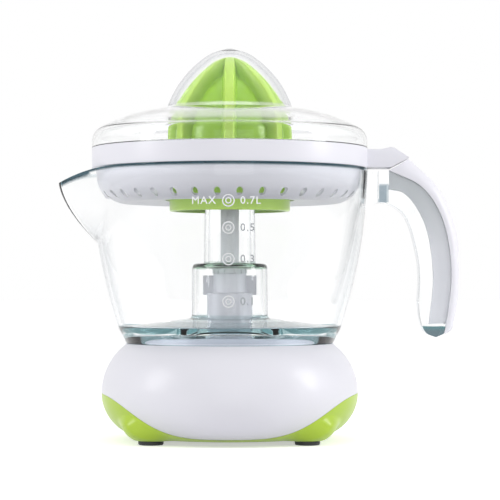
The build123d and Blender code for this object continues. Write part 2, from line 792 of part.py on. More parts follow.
with BuildPart() as seal_retainer:
    retainer_top_z = boss_top_z + retainer_h
    revolve(ring(spindle_r + retainer_gap, retainer_r, boss_top_z, retainer_top_z), axis=spindle_axis)
    with Locations(level(boss_top_z)):
        with PolarLocations(retainer_r, notch_count):
            Box(notch_depth, notch_w, retainer_h, align=upward, mode=Mode.SUBTRACT)
seal_retainer.part.label = "seal_retainer"

# Thrust cup under the spindle with the arm that works the switch
with BuildPart() as thrust_cup:
    revolve(ring(0, cup_r, cup_floor_z, cup_floor_z + cup_h), axis=spindle_axis)
    revolve(ring(0, stem_r, cup_floor_z - stem_len, cup_floor_z), axis=spindle_axis)
    with Locations((axis_x - arm_reach, 0, cup_floor_z)):
        Box(arm_reach, arm_w, arm_t, align=(Align.MIN, Align.CENTER, Align.MIN))
    cup_room = ring(0, spindle_r + peg_gap, spindle_bottom_z, spindle_bottom_z + cup_h)
    revolve(cup_room, axis=spindle_axis, mode=Mode.SUBTRACT)
thrust_cup.part.label = "thrust_cup"

with BuildPart() as return_spring:
    low_z = floor_z + spring_wire_r
    high_z = cup_floor_z - spring_wire_r
    with BuildLine(level(low_z)):
        coil = Helix((high_z - low_z) / spring_turns, high_z - low_z, spring_r)
    with BuildSketch(Plane(origin=coil @ 0, z_dir=coil % 0)):
        Circle(spring_wire_r)
    sweep(path=coil)
return_spring.part.label = "return_spring"

with BuildPart() as switch_body:
    with Locations((axis_x - switch_x, 0, floor_z + switch_lift)):
        Box(switch_len, switch_w, switch_h, align=upward)
    with Locations((axis_x - plunger_x, 0, floor_z + plunger_pit)):
        Cylinder(plunger_r + peg_gap, switch_h, align=upward, mode=Mode.SUBTRACT)
switch_body.part.label = "switch_body"

with BuildPart() as switch_plunger:
    with Locations((axis_x - plunger_x, 0, cup_floor_z)):
        Cylinder(plunger_r, plunger_len, align=(Align.CENTER, Align.CENTER, Align.MAX))
switch_plunger.part.label = "switch_plunger"

# The clear handle channel, rounded on its finger side
with BuildPart() as handle_channel:
    with BuildSketch(side):
        with BuildLine():
            front = Spline(*grip_front)
            seam = Spline(*reversed(inset_points(grip_seam, -handle_gap)))
            Line(front @ 1, seam @ 0)
            root_x = jug_rim_r - handle_root
            Polyline(seam @ 1, (root_x, (seam @ 1).Y), (root_x, (front @ 0).Y), front @ 0)
        make_face()
    extrude(amount=handle_w / 2, both=True)
    finger_edges = handle_channel.edges().filter_by(
        lambda e: abs(abs(e.center().Y) - handle_w / 2) < edge_play
        and e.length > long_edge
        and (e @ 0.5).Z < jug_rim_z - long_edge
        and (e @ 0.5).X < axis_x + grip(0.7, 0)[0]
    )
    fillet(finger_edges, finger_edge_r)
    with BuildSketch(side):
        with BuildLine():
            web = Spline(*grip_web)
            far = handle_reach + clear
            high = jug_rim_z + clear
            Polyline(web @ 1, (far, (web @ 1).Y), (far, high), ((web @ 0).X, high), web @ 0)
        make_face()
    extrude(amount=handle_w / 2 - handle_wall, both=True, mode=Mode.SUBTRACT)
    pocket_x = jug_rim_r + rib_pocket_in
    pocket = ring(pocket_x, pocket_x + rib_pocket_w, jug_rim_z - rib_pocket_drop, jug_rim_z)
    extrude(pocket, amount=handle_w / 2 - handle_wall, both=True, mode=Mode.SUBTRACT)

# Jug: wall, floor, stepped tower, foot ring, spout and handle channel in one clear moulding
with BuildPart() as jug:
    with BuildSketch(side):
        with BuildLine():
            wall = ThreePointArc(jug_low, jug_mid, jug_high)
            Polyline(wall @ 1, (0, jug_rim_z), (0, jug_foot_z), (jug_foot_r, jug_foot_z), wall @ 0)
        make_face()
    revolve(axis=spindle_axis)
    add(handle_channel.part)
    loft([spout_section(z, 0) for z in spout_levels])
    with BuildSketch(side) as hollow:
        with BuildLine():
            low = (jug_wall_r(floor_wall_z) - jug_wall, floor_wall_z)
            mouth_r = jug_rim_r - jug_wall
            inner = ThreePointArc(low, (jug_mid_r - jug_wall, jug_mid_z), (mouth_r, jug_rim_z))
            Polyline(
                inner @ 1, (mouth_r, jug_rim_z + clear), (0, jug_rim_z + clear), (0, tube_top_z),
                (tube_top_r, tube_top_z), (tube_r, tower_shoulder_z), (tower_r, tower_shoulder_z),
                (tower_r + tower_draft, floor_tower_z), inner @ 0,
            )
        make_face()
        fillet(hollow.vertices().sort_by_distance((tube_r, tower_shoulder_z, 0))[0], tube_edge_r)
        fillet(hollow.vertices().sort_by_distance((tower_r, tower_shoulder_z, 0))[0], tower_edge_r)
        tower_foot = (tower_r + tower_draft, floor_tower_z, 0)
        fillet(hollow.vertices().sort_by_distance(tower_foot)[0], tower_foot_edge_r)
        fillet(hollow.vertices().sort_by_distance((low[0], low[1], 0))[0], floor_edge_r)
    revolve(axis=spindle_axis, mode=Mode.SUBTRACT)
    loft([spout_section(z, jug_wall) for z in spout_levels], mode=Mode.SUBTRACT)
    with BuildSketch(side):
        with BuildLine():
            cup_r_in = tower_r - tower_wall
            tower_roof_z = tower_shoulder_z - tower_wall
            Polyline(
                (0, jug_foot_z - over), (jug_foot_r - jug_foot_t, jug_foot_z - over),
                (jug_foot_r - jug_foot_t, floor_wall_z - floor_t), (cup_r_in, floor_tower_z - floor_t),
                (cup_r_in, tower_roof_z), (tube_r - tube_wall, tower_roof_z),
                (tube_top_r - tube_wall, tube_top_z + over), (0, tube_top_z + over), close=True,
            )
        make_face()
    revolve(axis=spindle_axis, mode=Mode.SUBTRACT)
    with BuildSketch(side):
        with BuildLine():
            dip = Spline(*spout_dip)
            Polyline(
                dip @ 1, (-spout_reach - clear, jug_rim_z + clear), (-spout_dip_x + clear, jug_rim_z + clear),
                (-spout_dip_x + clear, jug_rim_z), dip @ 0,
            )
        make_face()
    extrude(amount=jug_rim_r, both=True, mode=Mode.SUBTRACT)
jug.part.label = "jug"

# White cover that snaps over the handle channel, with a leg down into it
with BuildPart() as handle_cover:
    with BuildSketch(side):
        with BuildLine():
            back = Spline(*grip_back)
            seam = Spline(*reversed(grip_seam))
            ThreePointArc(back @ 1, grip(0.895, 83.8), seam @ 0)
            Line(seam @ 1, back @ 0)
        make_face()
    extrude(amount=handle_w / 2, both=True)
    back_edges = handle_cover.edges().filter_by(
        lambda e: abs(abs(e.center().Y) - handle_w / 2) < edge_play
        and e.length > 3 * long_edge
        and (e @ 0.5).X > axis_x + grip(0.93, 0)[0]
    )
    fillet(back_edges, back_edge_r)
    with BuildSketch(side):
        with BuildLine():
            leg_front = Spline(*inset_points(grip_web, handle_gap))
            leg_back = Spline(*reversed(grip_seam[:-1]))
            Line(leg_front @ 1, leg_back @ 0)
            Line(leg_back @ 1, leg_front @ 0)
        make_face()
    extrude(amount=handle_w / 2 - handle_wall - handle_gap, both=True)
handle_cover.part.label = "handle_cover"

# Strainer: bowl with rim band, leaf shaped slots round its corner, and the tab over the handle
with BuildPart() as strainer:
    with BuildSketch(side) as bowl:
        with BuildLine():
            corner = ThreePointArc((bowl_floor_r, bowl_floor_z), bowl_corner, (bowl_side_r, bowl_side_z))
            corner_x = bowl_corner[0] - bowl_corner_in[0] * bowl_wall
            corner_z = bowl_corner[1] + bowl_corner_in[1] * bowl_wall
            corner_in = ThreePointArc(
                (bowl_side_r - bowl_wall, bowl_side_z),
                (corner_x, corner_z),
                (bowl_floor_r, bowl_floor_z + bowl_wall),
            )
            Polyline(
                corner @ 1, (bowl_r, jug_rim_z), (band_r, jug_rim_z), (band_r, band_top_z),
                (band_r - bowl_wall, band_top_z), (band_r - bowl_wall, jug_rim_z + band_step),
                (bowl_r - bowl_wall, jug_rim_z), corner_in @ 0,
            )
            Polyline(
                corner_in @ 1, (strainer_hole_r + bowl_wall, bowl_floor_z + bowl_wall),
                (strainer_hole_r + bowl_wall, bowl_floor_z + bowl_wall + strainer_lip_h),
                (strainer_hole_r, bowl_floor_z + bowl_wall + strainer_lip_h),
                (strainer_hole_r, bowl_floor_z), corner @ 0,
            )
        make_face()
    revolve(axis=spindle_axis)
    with BuildSketch(side) as tab:
        with BuildLine():
            root_x = band_r - over
            top = Spline((root_x, tab_top_z), (tab_peak_x - tab_rise, tab_top_z), (tab_peak_x, tab_peak_z))
            run = sqrt((part_high[0] - part_low[0]) ** 2 + (part_high[1] - part_low[1]) ** 2)
            lean_x = (part_high[0] - part_low[0]) / run
            lean_z = (part_high[1] - part_low[1]) / run
            end_high = (part_high[0] - tab_gap * lean_z, part_high[1] + tab_gap * lean_x)
            tab_low_z = jug_rim_z + 2 * part_gap
            end_low_x = end_high[0] - (end_high[1] - tab_low_z) * lean_x / lean_z
            Polyline(top @ 1, end_high, (end_low_x, tab_low_z), (root_x, tab_low_z), top @ 0)
        make_face()
        fillet(tab.vertices().sort_by_distance((tab_peak_x, tab_peak_z, 0))[0], tab_edge_r)
    extrude(amount=handle_w / 2, both=True)
    with BuildSketch(side):
        with BuildLine():
            Polyline(
                (band_r, jug_rim_z - over), (part_low[0] - tab_toe, jug_rim_z - over),
                (part_high[0] - tab_back, part_high[1]), (tab_peak_x, tab_peak_z - tab_roof),
                (band_r, tab_top_z - bowl_wall), close=True,
            )
        make_face()
    extrude(amount=handle_w / 2 - bowl_wall, both=True, mode=Mode.SUBTRACT)
    for i in range(slot_count):
        turn = radians(-90 + (i + 0.5) * 360 / slot_count)
        out = (slot_r * cos(turn), slot_r * sin(turn))
        lean = radians(slot_lean)
        face = Plane(
            (axis_x + out[0], out[1], slot_z), x_dir=(-sin(turn), cos(turn), 0),
            z_dir=(sin(lean) * cos(turn), sin(lean) * sin(turn), -cos(lean)),
        )
        with BuildSketch(face):
            Ellipse(slot_w / 2, slot_len / 2)
        extrude(amount=slot_depth, both=True, mode=Mode.SUBTRACT)
strainer.part.label = "strainer"

# Juicing cone: thin dome with ribs, collar below and a hexagonal hub inside
with BuildPart() as rib:
    with BuildSketch(side):
        with BuildLine():
            rib_tip = (rib_start, cone_apex_z - rib_tip_drop)
            crest = ThreePointArc(rib_tip, (cone_swell * rib_r, cone_shape_z), (rib_r, cone_skirt_z))
            Polyline(crest @ 1, (rib_r, collar_top_z), (rib_start, collar_top_z), crest @ 0)
        make_face()
    extrude(amount=rib_w / 2, both=True)
    crest_edges = rib.edges().filter_by(
        lambda e: abs(abs(e.center().Y) - rib_w / 2) < edge_play
        and (e @ 0.5).X > axis_x + hub_r
        and (e @ 0.5).Z > collar_top_z + cone_tip_r
    )
    fillet(crest_edges, rib_edge_r)
with BuildPart() as juicing_cone:
    valley_r = rib_r - valley_depth
    collar_in_r = collar_r - collar_wall
    hub_top_z = valley_apex_z - cone_wall - hub_roof
    valley_low_z = cone_skirt_z - valley_drop
    valley_shape_z = cone_shape_z - valley_swell * valley_depth
    with BuildSketch(side):
        with BuildLine():
            valley_mid = (cone_swell * valley_r, valley_shape_z)
            dome = ThreePointArc((0, valley_apex_z), valley_mid, (valley_r, valley_low_z))
            Polyline(dome @ 1, (valley_r, collar_top_z), (0, collar_top_z), dome @ 0)
        make_face()
    revolve(axis=spindle_axis)
    add([rib.part.rotate(spindle_axis, -90 + i * 360 / rib_count) for i in range(rib_count)])
    with Locations((axis_x, 0, cone_apex_z - cone_tip_r + cone_tip_flat)):
        Sphere(cone_tip_r)
    with Locations((axis_x, 0, cone_apex_z)):
        Box(cone_tip_r, cone_tip_r, over, align=upward, mode=Mode.SUBTRACT)
    with BuildSketch(side) as collar:
        with BuildLine():
            high = collar_top_z + sink
            foot = (collar_r, collar_bottom_z)
            Polyline((0, collar_bottom_z), foot, (collar_r, high), (0, high), close=True)
        make_face()
        fillet(collar.vertices().sort_by_distance((*foot, 0))[0], collar_edge_r)
    revolve(axis=spindle_axis)
    with BuildSketch(side):
        with BuildLine():
            room = ThreePointArc(
                (0, hub_top_z - hub_sink),
                (cone_swell * (valley_r - cone_wall), valley_shape_z - cone_wall),
                (valley_r - cone_wall, valley_low_z),
            )
            Polyline(
                room @ 1, (valley_r - cone_wall, collar_top_z), (collar_in_r, collar_top_z - collar_step),
                (collar_in_r, collar_bottom_z - over), (0, collar_bottom_z - over), room @ 0,
            )
        make_face()
    revolve(axis=spindle_axis, mode=Mode.SUBTRACT)
    with BuildSketch(level(hub_bottom_z)):
        Circle(hub_r)
    extrude(amount=hub_top_z - hub_bottom_z)
    with BuildSketch(level(hub_bottom_z + web_lift)):
        with PolarLocations(0, web_count, start_angle=web_turn):
            with Locations((valley_r / 2, 0)):
                Rectangle(valley_r - over, web_t)
    extrude(amount=valley_low_z - hub_bottom_z - web_lift)
    with BuildSketch(level(hub_bottom_z - over)):
        RegularPolygon(spindle_hex / 2 + hex_gap, 6, major_radius=False)
    extrude(amount=spindle_top_z - hub_bottom_z + over, mode=Mode.SUBTRACT)
juicing_cone.part.label = "juicing_cone"

# Dust cover: dome over the cone, wide shoulder over the strainer, lip that drops into the band
with BuildPart() as dust_cover:
    with BuildSketch(side):
        with BuildLine():
            rise = Line((cover_r, band_top_z), (cover_r, cover_side_z))
            turn = CenterArc((cover_r - cover_side_arc, cover_side_z), cover_side_arc, 0, cover_side_turn)
            slope = TangentArc(turn @ 1, (cover_neck_r + cover_neck_w, cover_neck_z), tangent=turn % 1)
            crown = TangentArc((0, cover_top_z - gate_h), cover_crown, tangent=(1, 0))
            flank = TangentArc(crown @ 1, (cover_neck_r, cover_neck_z + cover_neck_h), tangent=crown % 1)
            Line(slope @ 1, flank @ 1)
            offset(amount=cover_wall, side=Side.LEFT)
        make_face()
    revolve(axis=spindle_axis)
    lip_r = band_r - bowl_wall - cover_lip_gap
    revolve(ring(lip_r - cover_wall, lip_r, band_top_z - cover_lip_h, band_top_z + over), axis=spindle_axis)
    ledge = ring(lip_r - cover_wall, cover_r - cover_lip_set, band_top_z, band_top_z + cover_wall)
    revolve(ledge, axis=spindle_axis)
    revolve(ring(0, gate_r, cover_top_z - cover_wall - 2 * gate_h, cover_top_z), axis=spindle_axis)
dust_cover.part.label = "dust_cover"

os.makedirs("parts", exist_ok=True)
for piece in (
    base_housing, base_tray, rubber_feet, tray_screws, cord_gland, gearbox_plate, plate_screws,
    motor_can, motor_magnets, motor_end_cap, motor_screws, motor_rotor, motor_shaft, motor_pinion,
    idler_gear, idler_axle, axle_clip, output_gear, spindle, upper_bush, lower_bush, thrust_washer,
    spindle_seal, seal_retainer, thrust_cup, return_spring, switch_body, switch_plunger,
    jug, handle_cover, strainer, juicing_cone, dust_cover,
):
    export_step(piece.part, "parts/" + piece.part.label + ".step")
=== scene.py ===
import bmesh
import bpy
import math
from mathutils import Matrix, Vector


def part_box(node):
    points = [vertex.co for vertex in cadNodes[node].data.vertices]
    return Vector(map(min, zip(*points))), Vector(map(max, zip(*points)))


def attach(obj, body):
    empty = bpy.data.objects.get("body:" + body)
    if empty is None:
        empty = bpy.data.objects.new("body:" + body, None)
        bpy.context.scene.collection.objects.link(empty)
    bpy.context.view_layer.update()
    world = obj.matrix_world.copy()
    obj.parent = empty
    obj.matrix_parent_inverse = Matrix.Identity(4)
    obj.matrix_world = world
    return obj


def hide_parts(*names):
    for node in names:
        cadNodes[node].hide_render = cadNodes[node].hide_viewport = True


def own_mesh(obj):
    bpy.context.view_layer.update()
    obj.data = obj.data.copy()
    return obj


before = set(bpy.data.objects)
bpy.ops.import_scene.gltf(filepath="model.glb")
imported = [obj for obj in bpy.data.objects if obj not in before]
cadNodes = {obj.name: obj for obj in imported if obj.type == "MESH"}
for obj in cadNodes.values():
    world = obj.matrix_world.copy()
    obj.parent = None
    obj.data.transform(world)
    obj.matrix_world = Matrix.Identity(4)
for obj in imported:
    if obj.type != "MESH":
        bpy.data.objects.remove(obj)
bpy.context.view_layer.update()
spindleLow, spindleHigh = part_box("spindle")
axisX = (spindleLow.x + spindleHigh.x) / 2  # the spindle stands here, everything round is spun about it
mm = 0.001
weld = 0.000005  # corners closer than this become one
print("frame loaded,", len(cadNodes), "nodes")


# drawing: a line of corners in the front plane, x from the spindle and z from the table, in mm

def arcRound(centre, a, b, count):  # points on a circle, the short way from a to b
    cx, cz = centre
    radius = math.dist(centre, a)
    start = math.atan2(a[1] - cz, a[0] - cx)
    sweep = math.remainder(math.atan2(b[1] - cz, b[0] - cx) - start, math.tau)
    turns = [start + sweep * i / (count - 1) for i in range(count)]
    return [(cx + radius * math.cos(t), cz + radius * math.sin(t)) for t in turns]


def arcThrough(a, b, c, count):  # on the circle through three corners
    d = 2 * (a[0] * (b[1] - c[1]) + b[0] * (c[1] - a[1]) + c[0] * (a[1] - b[1]))
    sa, sb, sc = (p[0] ** 2 + p[1] ** 2 for p in (a, b, c))
    cx = (sa * (b[1] - c[1]) + sb * (c[1] - a[1]) + sc * (a[1] - b[1])) / d
    cz = (sa * (c[0] - b[0]) + sb * (a[0] - c[0]) + sc * (b[0] - a[0])) / d
    return arcRound((cx, cz), a, c, count)


def arcFrom(a, way, b, count):  # leaves a in one direction and ends at b
    px, pz = -way[1], way[0]
    chord = (b[0] - a[0], b[1] - a[1])
    radius = (chord[0] ** 2 + chord[1] ** 2) / (2 * (chord[0] * px + chord[1] * pz))
    return arcRound((a[0] + px * radius, a[1] + pz * radius), a, b, count)


def softCurve(points, count):  # an easy curve through a few corners
    first = tuple(2 * a - b for a, b in zip(points[0], points[1]))
    last = tuple(2 * a - b for a, b in zip(points[-1], points[-2]))
    row = [first, *points, last]
    made = []
    for i in range(1, len(row) - 2):
        p0, p1, p2, p3 = row[i - 1:i + 3]
        t0, t1 = 0.0, math.dist(p0, p1) ** 0.5
        t2 = t1 + math.dist(p1, p2) ** 0.5
        t3 = t2 + math.dist(p2, p3) ** 0.5
        for k in range(count):
            t = t1 + (t2 - t1) * k / count
            spot = []
            for u0, u1, u2, u3 in zip(p0, p1, p2, p3):
                a1 = (t1 - t) / (t1 - t0) * u0 + (t - t0) / (t1 - t0) * u1
                a2 = (t2 - t) / (t2 - t1) * u1 + (t - t1) / (t2 - t1) * u2
                a3 = (t3 - t) / (t3 - t2) * u2 + (t - t2) / (t3 - t2) * u3
                b1 = (t2 - t) / (t2 - t0) * a1 + (t - t0) / (t2 - t0) * a2
                b2 = (t3 - t) / (t3 - t1) * a2 + (t - t1) / (t3 - t1) * a3
                spot.append((t2 - t) / (t2 - t1) * b1 + (t - t1) / (t2 - t1) * b2)
            made.append(tuple(spot))
    return made + [tuple(points[-1])]


def rounded(points, parts=5):  # a corner given as x, z, radius is rounded off
    longest = 0.49  # share of a side that one corner may take
    made = []
    for i, p in enumerate(points):
        if len(p) < 3 or p[2] == 0:
            made.append((p[0], p[1]))
            continue
        before, after = points[i - 1], points[(i + 1) % len(points)]
        ax, az = before[0] - p[0], before[1] - p[1]
        bx, bz = after[0] - p[0], after[1] - p[1]
        la, lb = math.hypot(ax, az), math.hypot(bx, bz)
        corner = math.acos(max(-1, min(1, (ax * bx + az * bz) / (la * lb))))
        back = min(p[2] / math.tan(corner / 2), longest * la, longest * lb)
        first = (p[0] + ax / la * back, p[1] + az / la * back)
        last = (p[0] + bx / lb * back, p[1] + bz / lb * back)
        for k in range(parts + 1):
            t = k / parts
            u, v, w = (1 - t) ** 2, 2 * t * (1 - t), t * t
            made.append((u * first[0] + v * p[0] + w * last[0], u * first[1] + v * p[1] + w * last[1]))
    return made


def insetLine(points, wall):  # the same open line one wall further in
    made = []
    for i, (x, z) in enumerate(points):
        x0, z0 = points[max(i - 1, 0)]
        x1, z1 = points[min(i + 1, len(points) - 1)]
        run = math.dist((x0, z0), (x1, z1))
        made.append((0.0, z - wall) if x == 0 else (x - wall * (z1 - z0) / run, z + wall * (x1 - x0) / run))
    return made


def readOff(line, z):  # x of a rising line at a height
    for (x0, z0), (x1, z1) in zip(line, line[1:]):
        if z <= z1:
            return x0 + (x1 - x0) * (z - z0) / (z1 - z0)
    return line[-1][0]


def local(co):  # a mesh corner in the drawing's own measure
    return (co.x - axisX) / mm, co.y / mm, co.z / mm


def pick(*pieces):  # selects these and nothing else, the first one in hand
    bpy.ops.object.select_all(action="DESELECT")
    for piece in pieces:
        piece.select_set(True)
    if pieces:
        bpy.context.view_layer.objects.active = pieces[0]


def closeEdit():  # turns all faces outward and leaves edit mode
    bpy.ops.mesh.select_all(action="SELECT")
    bpy.ops.mesh.normals_make_consistent(inside=False)
    bpy.ops.object.mode_set(mode="OBJECT")


def drawLine(name, points, closed=True):  # a plane shrunk to one corner and pulled along the line
    pick()
    bpy.ops.mesh.primitive_plane_add(size=2 * mm)
    piece = bpy.context.object
    piece.name = piece.data.name = name
    bpy.ops.object.mode_set(mode="EDIT")
    bpy.ops.mesh.select_mode(type="VERT")
    bpy.ops.mesh.select_all(action="SELECT")
    bpy.ops.mesh.merge(type="CENTER")
    x, z = points[0]
    bpy.ops.transform.translate(value=(axisX + x * mm, 0, z * mm))
    row = list(points) + ([points[0]] if closed else [])
    for (x0, z0), (x1, z1) in zip(row, row[1:]):
        step = {"value": ((x1 - x0) * mm, 0, (z1 - z0) * mm)}
        bpy.ops.mesh.extrude_region_move(TRANSFORM_OT_translate=step)
    bpy.ops.mesh.select_all(action="SELECT")
    bpy.ops.mesh.remove_doubles(threshold=weld)
    return piece


def spinRound(steps):  # turns the drawn line once about the spindle
    bpy.ops.mesh.select_all(action="SELECT")
    bpy.ops.mesh.spin(steps=steps, angle=math.tau, center=(axisX, 0, 0), axis=(0, 0, 1))
    bpy.ops.mesh.select_all(action="SELECT")
    bpy.ops.mesh.remove_doubles(threshold=weld)
    closeEdit()


def thicken(half):  # fills the drawn line and gives it a width across
    bpy.ops.mesh.select_all(action="SELECT")
    bpy.ops.mesh.edge_face_add()
    bpy.ops.transform.translate(value=(0, -half * mm, 0))
    bpy.ops.mesh.extrude_region_move(TRANSFORM_OT_translate={"value": (0, 2 * half * mm, 0)})
    closeEdit()


def capEnds():  # closes the open ends of the piece in hand
    bpy.ops.object.mode_set(mode="EDIT")
    bpy.ops.mesh.select_all(action="SELECT")
    bpy.ops.mesh.remove_doubles(threshold=weld)
    bpy.ops.mesh.fill_holes(sides=0)
    closeEdit()


def softenEdges(piece, width, parts, test):  # bevels the edges of the two sides that pass the test
    sameSide = 1e-6
    pick(piece)
    bpy.ops.object.mode_set(mode="EDIT")
    bpy.ops.mesh.select_mode(type="EDGE")
    bpy.ops.mesh.select_all(action="DESELECT")
    work = bmesh.from_edit_mesh(piece.data)
    for edge in work.edges:
        a, b = (vertex.co for vertex in edge.verts)
        edge.select_set(abs(a.y - b.y) < sameSide and test(a) and test(b))
    bmesh.update_edit_mesh(piece.data)
    bpy.ops.mesh.bevel(offset=width * mm, segments=parts, affect="EDGES", clamp_overlap=True)
    bpy.ops.object.mode_set(mode="OBJECT")


def combine(piece, other, how):  # boolean, applied, and the tool thrown away
    pick(piece)
    step = piece.modifiers.new("combine", "BOOLEAN")
    step.operation = how
    step.solver = "EXACT"
    step.object = other
    bpy.ops.object.modifier_apply(modifier=step.name)
    bpy.data.objects.remove(other)


def copyOf(piece):
    twin = piece.copy()
    twin.data = piece.data.copy()
    bpy.context.scene.collection.objects.link(twin)
    return twin


def joinPieces(name, pieces):
    pick(*pieces)
    bpy.ops.object.join()
    whole = bpy.context.object
    whole.name = whole.data.name = name
    return whole


def tintAndShadeWalls(piece, rule):  # colour of a clear wall with its painted shade, and strength of its painted grey outline, corner by corner
    tint = piece.data.attributes.new("wallTintAndShade", "FLOAT_COLOR", "POINT")
    for vertex, item in zip(piece.data.vertices, tint.data):
        item.color = rule(*local(vertex.co))


def shadeBy(piece, rule):  # how much of its finish's painted shade colour each corner takes
    paintedLightShade = piece.data.attributes.new("paintedLightShade", "FLOAT", "POINT")
    for vertex, item in zip(piece.data.vertices, paintedLightShade.data):
        item.value = rule(vertex)


def finishPiece(piece, body, nodes, finish, angle=32):
    pick(piece)
    bpy.ops.object.shade_smooth_by_angle(angle=math.radians(angle))
    piece.data.materials.clear()
    piece.data.materials.append(finish)
    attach(piece, body)
    if nodes:
        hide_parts(*nodes)


# shared effects

def newGroup(name, inputs, outputs):
    group = bpy.data.node_groups.new(name, "ShaderNodeTree")
    for label, kind, value in inputs:
        socket = group.interface.new_socket(label, in_out="INPUT", socket_type=kind)
        if value is not None:
            socket.default_value = value
    for label in outputs:
        group.interface.new_socket(label, in_out="OUTPUT", socket_type="NodeSocketFloat")
    return group, group.nodes.new("NodeGroupInput").outputs, group.nodes.new("NodeGroupOutput").inputs


def noiseIn(tree, vector, scale, detail, roughness=0.5):
    noise = tree.nodes.new("ShaderNodeTexNoise")
    noise.inputs["Detail"].default_value = detail
    noise.inputs["Roughness"].default_value = roughness
    tree.links.new(vector, noise.inputs["Vector"])
    if isinstance(scale, (int, float)):
        noise.inputs["Scale"].default_value = scale
    else:
        tree.links.new(scale, noise.inputs["Scale"])
    return noise.outputs["Fac"]


def mathIn(tree, how, first, second, clamp=False):
    node = tree.nodes.new("ShaderNodeMath")
    node.operation = how
    node.use_clamp = clamp
    for socket, value in zip(node.inputs, (first, second)):
        if isinstance(value, (int, float)):
            socket.default_value = value
        else:
            tree.links.new(value, socket)
    return node.outputs[0]


def aboveIn(tree, value, edge, gain):  # climbs from zero to one past an edge
    return mathIn(tree, "MULTIPLY", mathIn(tree, "SUBTRACT", value, edge), gain, True)


def bandIn(tree, value, low, high, softLow, softHigh):  # one between two edges, each as soft as it is told
    lower = aboveIn(tree, value, low, 1 / softLow)
    return mathIn(tree, "MULTIPLY", lower, aboveIn(tree, value, high, -1 / softHigh))


def mixIn(tree, share, first, second):  # a blend of two colours
    node = tree.nodes.new("ShaderNodeMix")
    node.data_type = "RGBA"
    for socket, value in zip((node.inputs[0], node.inputs[6], node.inputs[7]), (share, first, second)):
        if isinstance(value, tuple):
            socket.default_value = (*value, 1)
        else:
            tree.links.new(value, socket)
    return node.outputs[2]


def groupIn(tree, group, settings):  # a shared effect, laid in the piece's own space
    node = tree.nodes.new("ShaderNodeGroup")
    node.node_tree = group
    for label, value in settings.items():
        node.inputs[label].default_value = value
    coords = tree.nodes.new("ShaderNodeTexCoord")
    tree.links.new(coords.outputs["Object"], node.inputs["Vector"])
    return node.outputs, coords.outputs["Object"]


def surfaceIn(tree, shader, look, worn, relief, depth):  # duller where it is worn, and a shallow relief
    gloss = tree.nodes.new("ShaderNodeMapRange")
    gloss.inputs["To Min"].default_value, gloss.inputs["To Max"].default_value = look["gloss"]
    tree.links.new(worn, gloss.inputs["Value"])
    tree.links.new(gloss.outputs["Result"], shader.inputs["Roughness"])
    bump = tree.nodes.new("ShaderNodeBump")
    bump.inputs["Strength"].default_value = look["bump"]
    bump.inputs["Distance"].default_value = depth
    tree.links.new(relief, bump.inputs["Height"])
    tree.links.new(bump.outputs["Normal"], shader.inputs["Normal"])


def seenIn(tree):  # one for rays that show in the picture, zero for those that only light it
    path = tree.nodes.new("ShaderNodeLightPath")
    direct = mathIn(tree, "MAXIMUM", path.outputs["Is Camera Ray"], path.outputs["Is Glossy Ray"])
    return mathIn(tree, "MAXIMUM", direct, path.outputs["Is Transmission Ray"])


# moulded skin: slow clouds in the colour, fine spark-eroded grain, a few rubbed spots
skin = {"rubScale": 70.0, "rubFrom": 0.55, "rubGain": 4.0, "depth": 0.0002, "ior": 1.46}
mouldSkin, skinIn, skinOut = newGroup(
    "mouldSkin",
    [("Vector", "NodeSocketVector", None), ("Cloud Scale", "NodeSocketFloat", 18.0),
     ("Grain Scale", "NodeSocketFloat", 900.0)],
    ["Cloud", "Grain", "Rub"],
)
cloud = noiseIn(mouldSkin, skinIn["Vector"], skinIn["Cloud Scale"], 3.0)
grain = noiseIn(mouldSkin, skinIn["Vector"], skinIn["Grain Scale"], 2.0, 0.6)
rubNoise = noiseIn(mouldSkin, skinIn["Vector"], skin["rubScale"], 5.0, 0.7)
rub = aboveIn(mouldSkin, rubNoise, skin["rubFrom"], skin["rubGain"])
for socket, label in ((cloud, "Cloud"), (grain, "Grain"), (rub, "Rub")):
    mouldSkin.links.new(socket, skinOut[label])

# handling marks on clear plastic: soft smears and slow ripples
touch = {"smearFrom": 0.5, "smearGain": 3.0, "rippleScale": 45.0, "depth": 0.0005}
handMarks, marksIn, marksOut = newGroup(
    "handMarks",
    [("Vector", "NodeSocketVector", None), ("Smear Scale", "NodeSocketFloat", 30.0)],
    ["Smear", "Ripple"],
)
smearNoise = noiseIn(handMarks, marksIn["Vector"], marksIn["Smear Scale"], 4.0, 0.6)
smear = aboveIn(handMarks, smearNoise, touch["smearFrom"], touch["smearGain"])
ripple = noiseIn(handMarks, marksIn["Vector"], touch["rippleScale"], 1.0)
for socket, label in ((smear, "Smear"), (ripple, "Ripple")):
    handMarks.links.new(socket, marksOut[label])


def newFinish(name):
    finish = bpy.data.materials.new(name)
    finish.use_nodes = True
    nodes = finish.node_tree.nodes
    return finish, finish.node_tree, nodes["Principled BSDF"], nodes["Material Output"]


def mouldedFinish(name, look):  # opaque plastic, rubber or metal
    finish, tree, shader, _ = newFinish(name)
    worn, _ = groupIn(tree, mouldSkin, {"Cloud Scale": look["cloud"], "Grain Scale": look["grain"]})
    tint = mixIn(tree, worn["Cloud"], look["colour"], look["shade"])
    if "paintedLightShade" in look:  # a second colour where the piece asks for it: painted highlight on the cone's ribs and collar, painted shade on shaded sides, painted grey shade on the figures
        paintedLightShade = tree.nodes.new("ShaderNodeAttribute")
        paintedLightShade.attribute_name = "paintedLightShade"
        tint = mixIn(tree, paintedLightShade.outputs["Fac"], tint, look["paintedLightShade"])
    if "edge" in look:  # painted shade: a raised mark darkens where it turns away
        facing = tree.nodes.new("ShaderNodeLayerWeight")
        tint = mixIn(tree, facing.outputs["Facing"], tint, look["edge"])
    tree.links.new(tint, shader.inputs["Base Color"])
    surfaceIn(tree, shader, look, worn["Rub"], worn["Grain"], skin["depth"])
    shader.inputs["Metallic"].default_value = look.get("metal", 0.0)
    shader.inputs["IOR"].default_value = skin["ior"]
    return finish


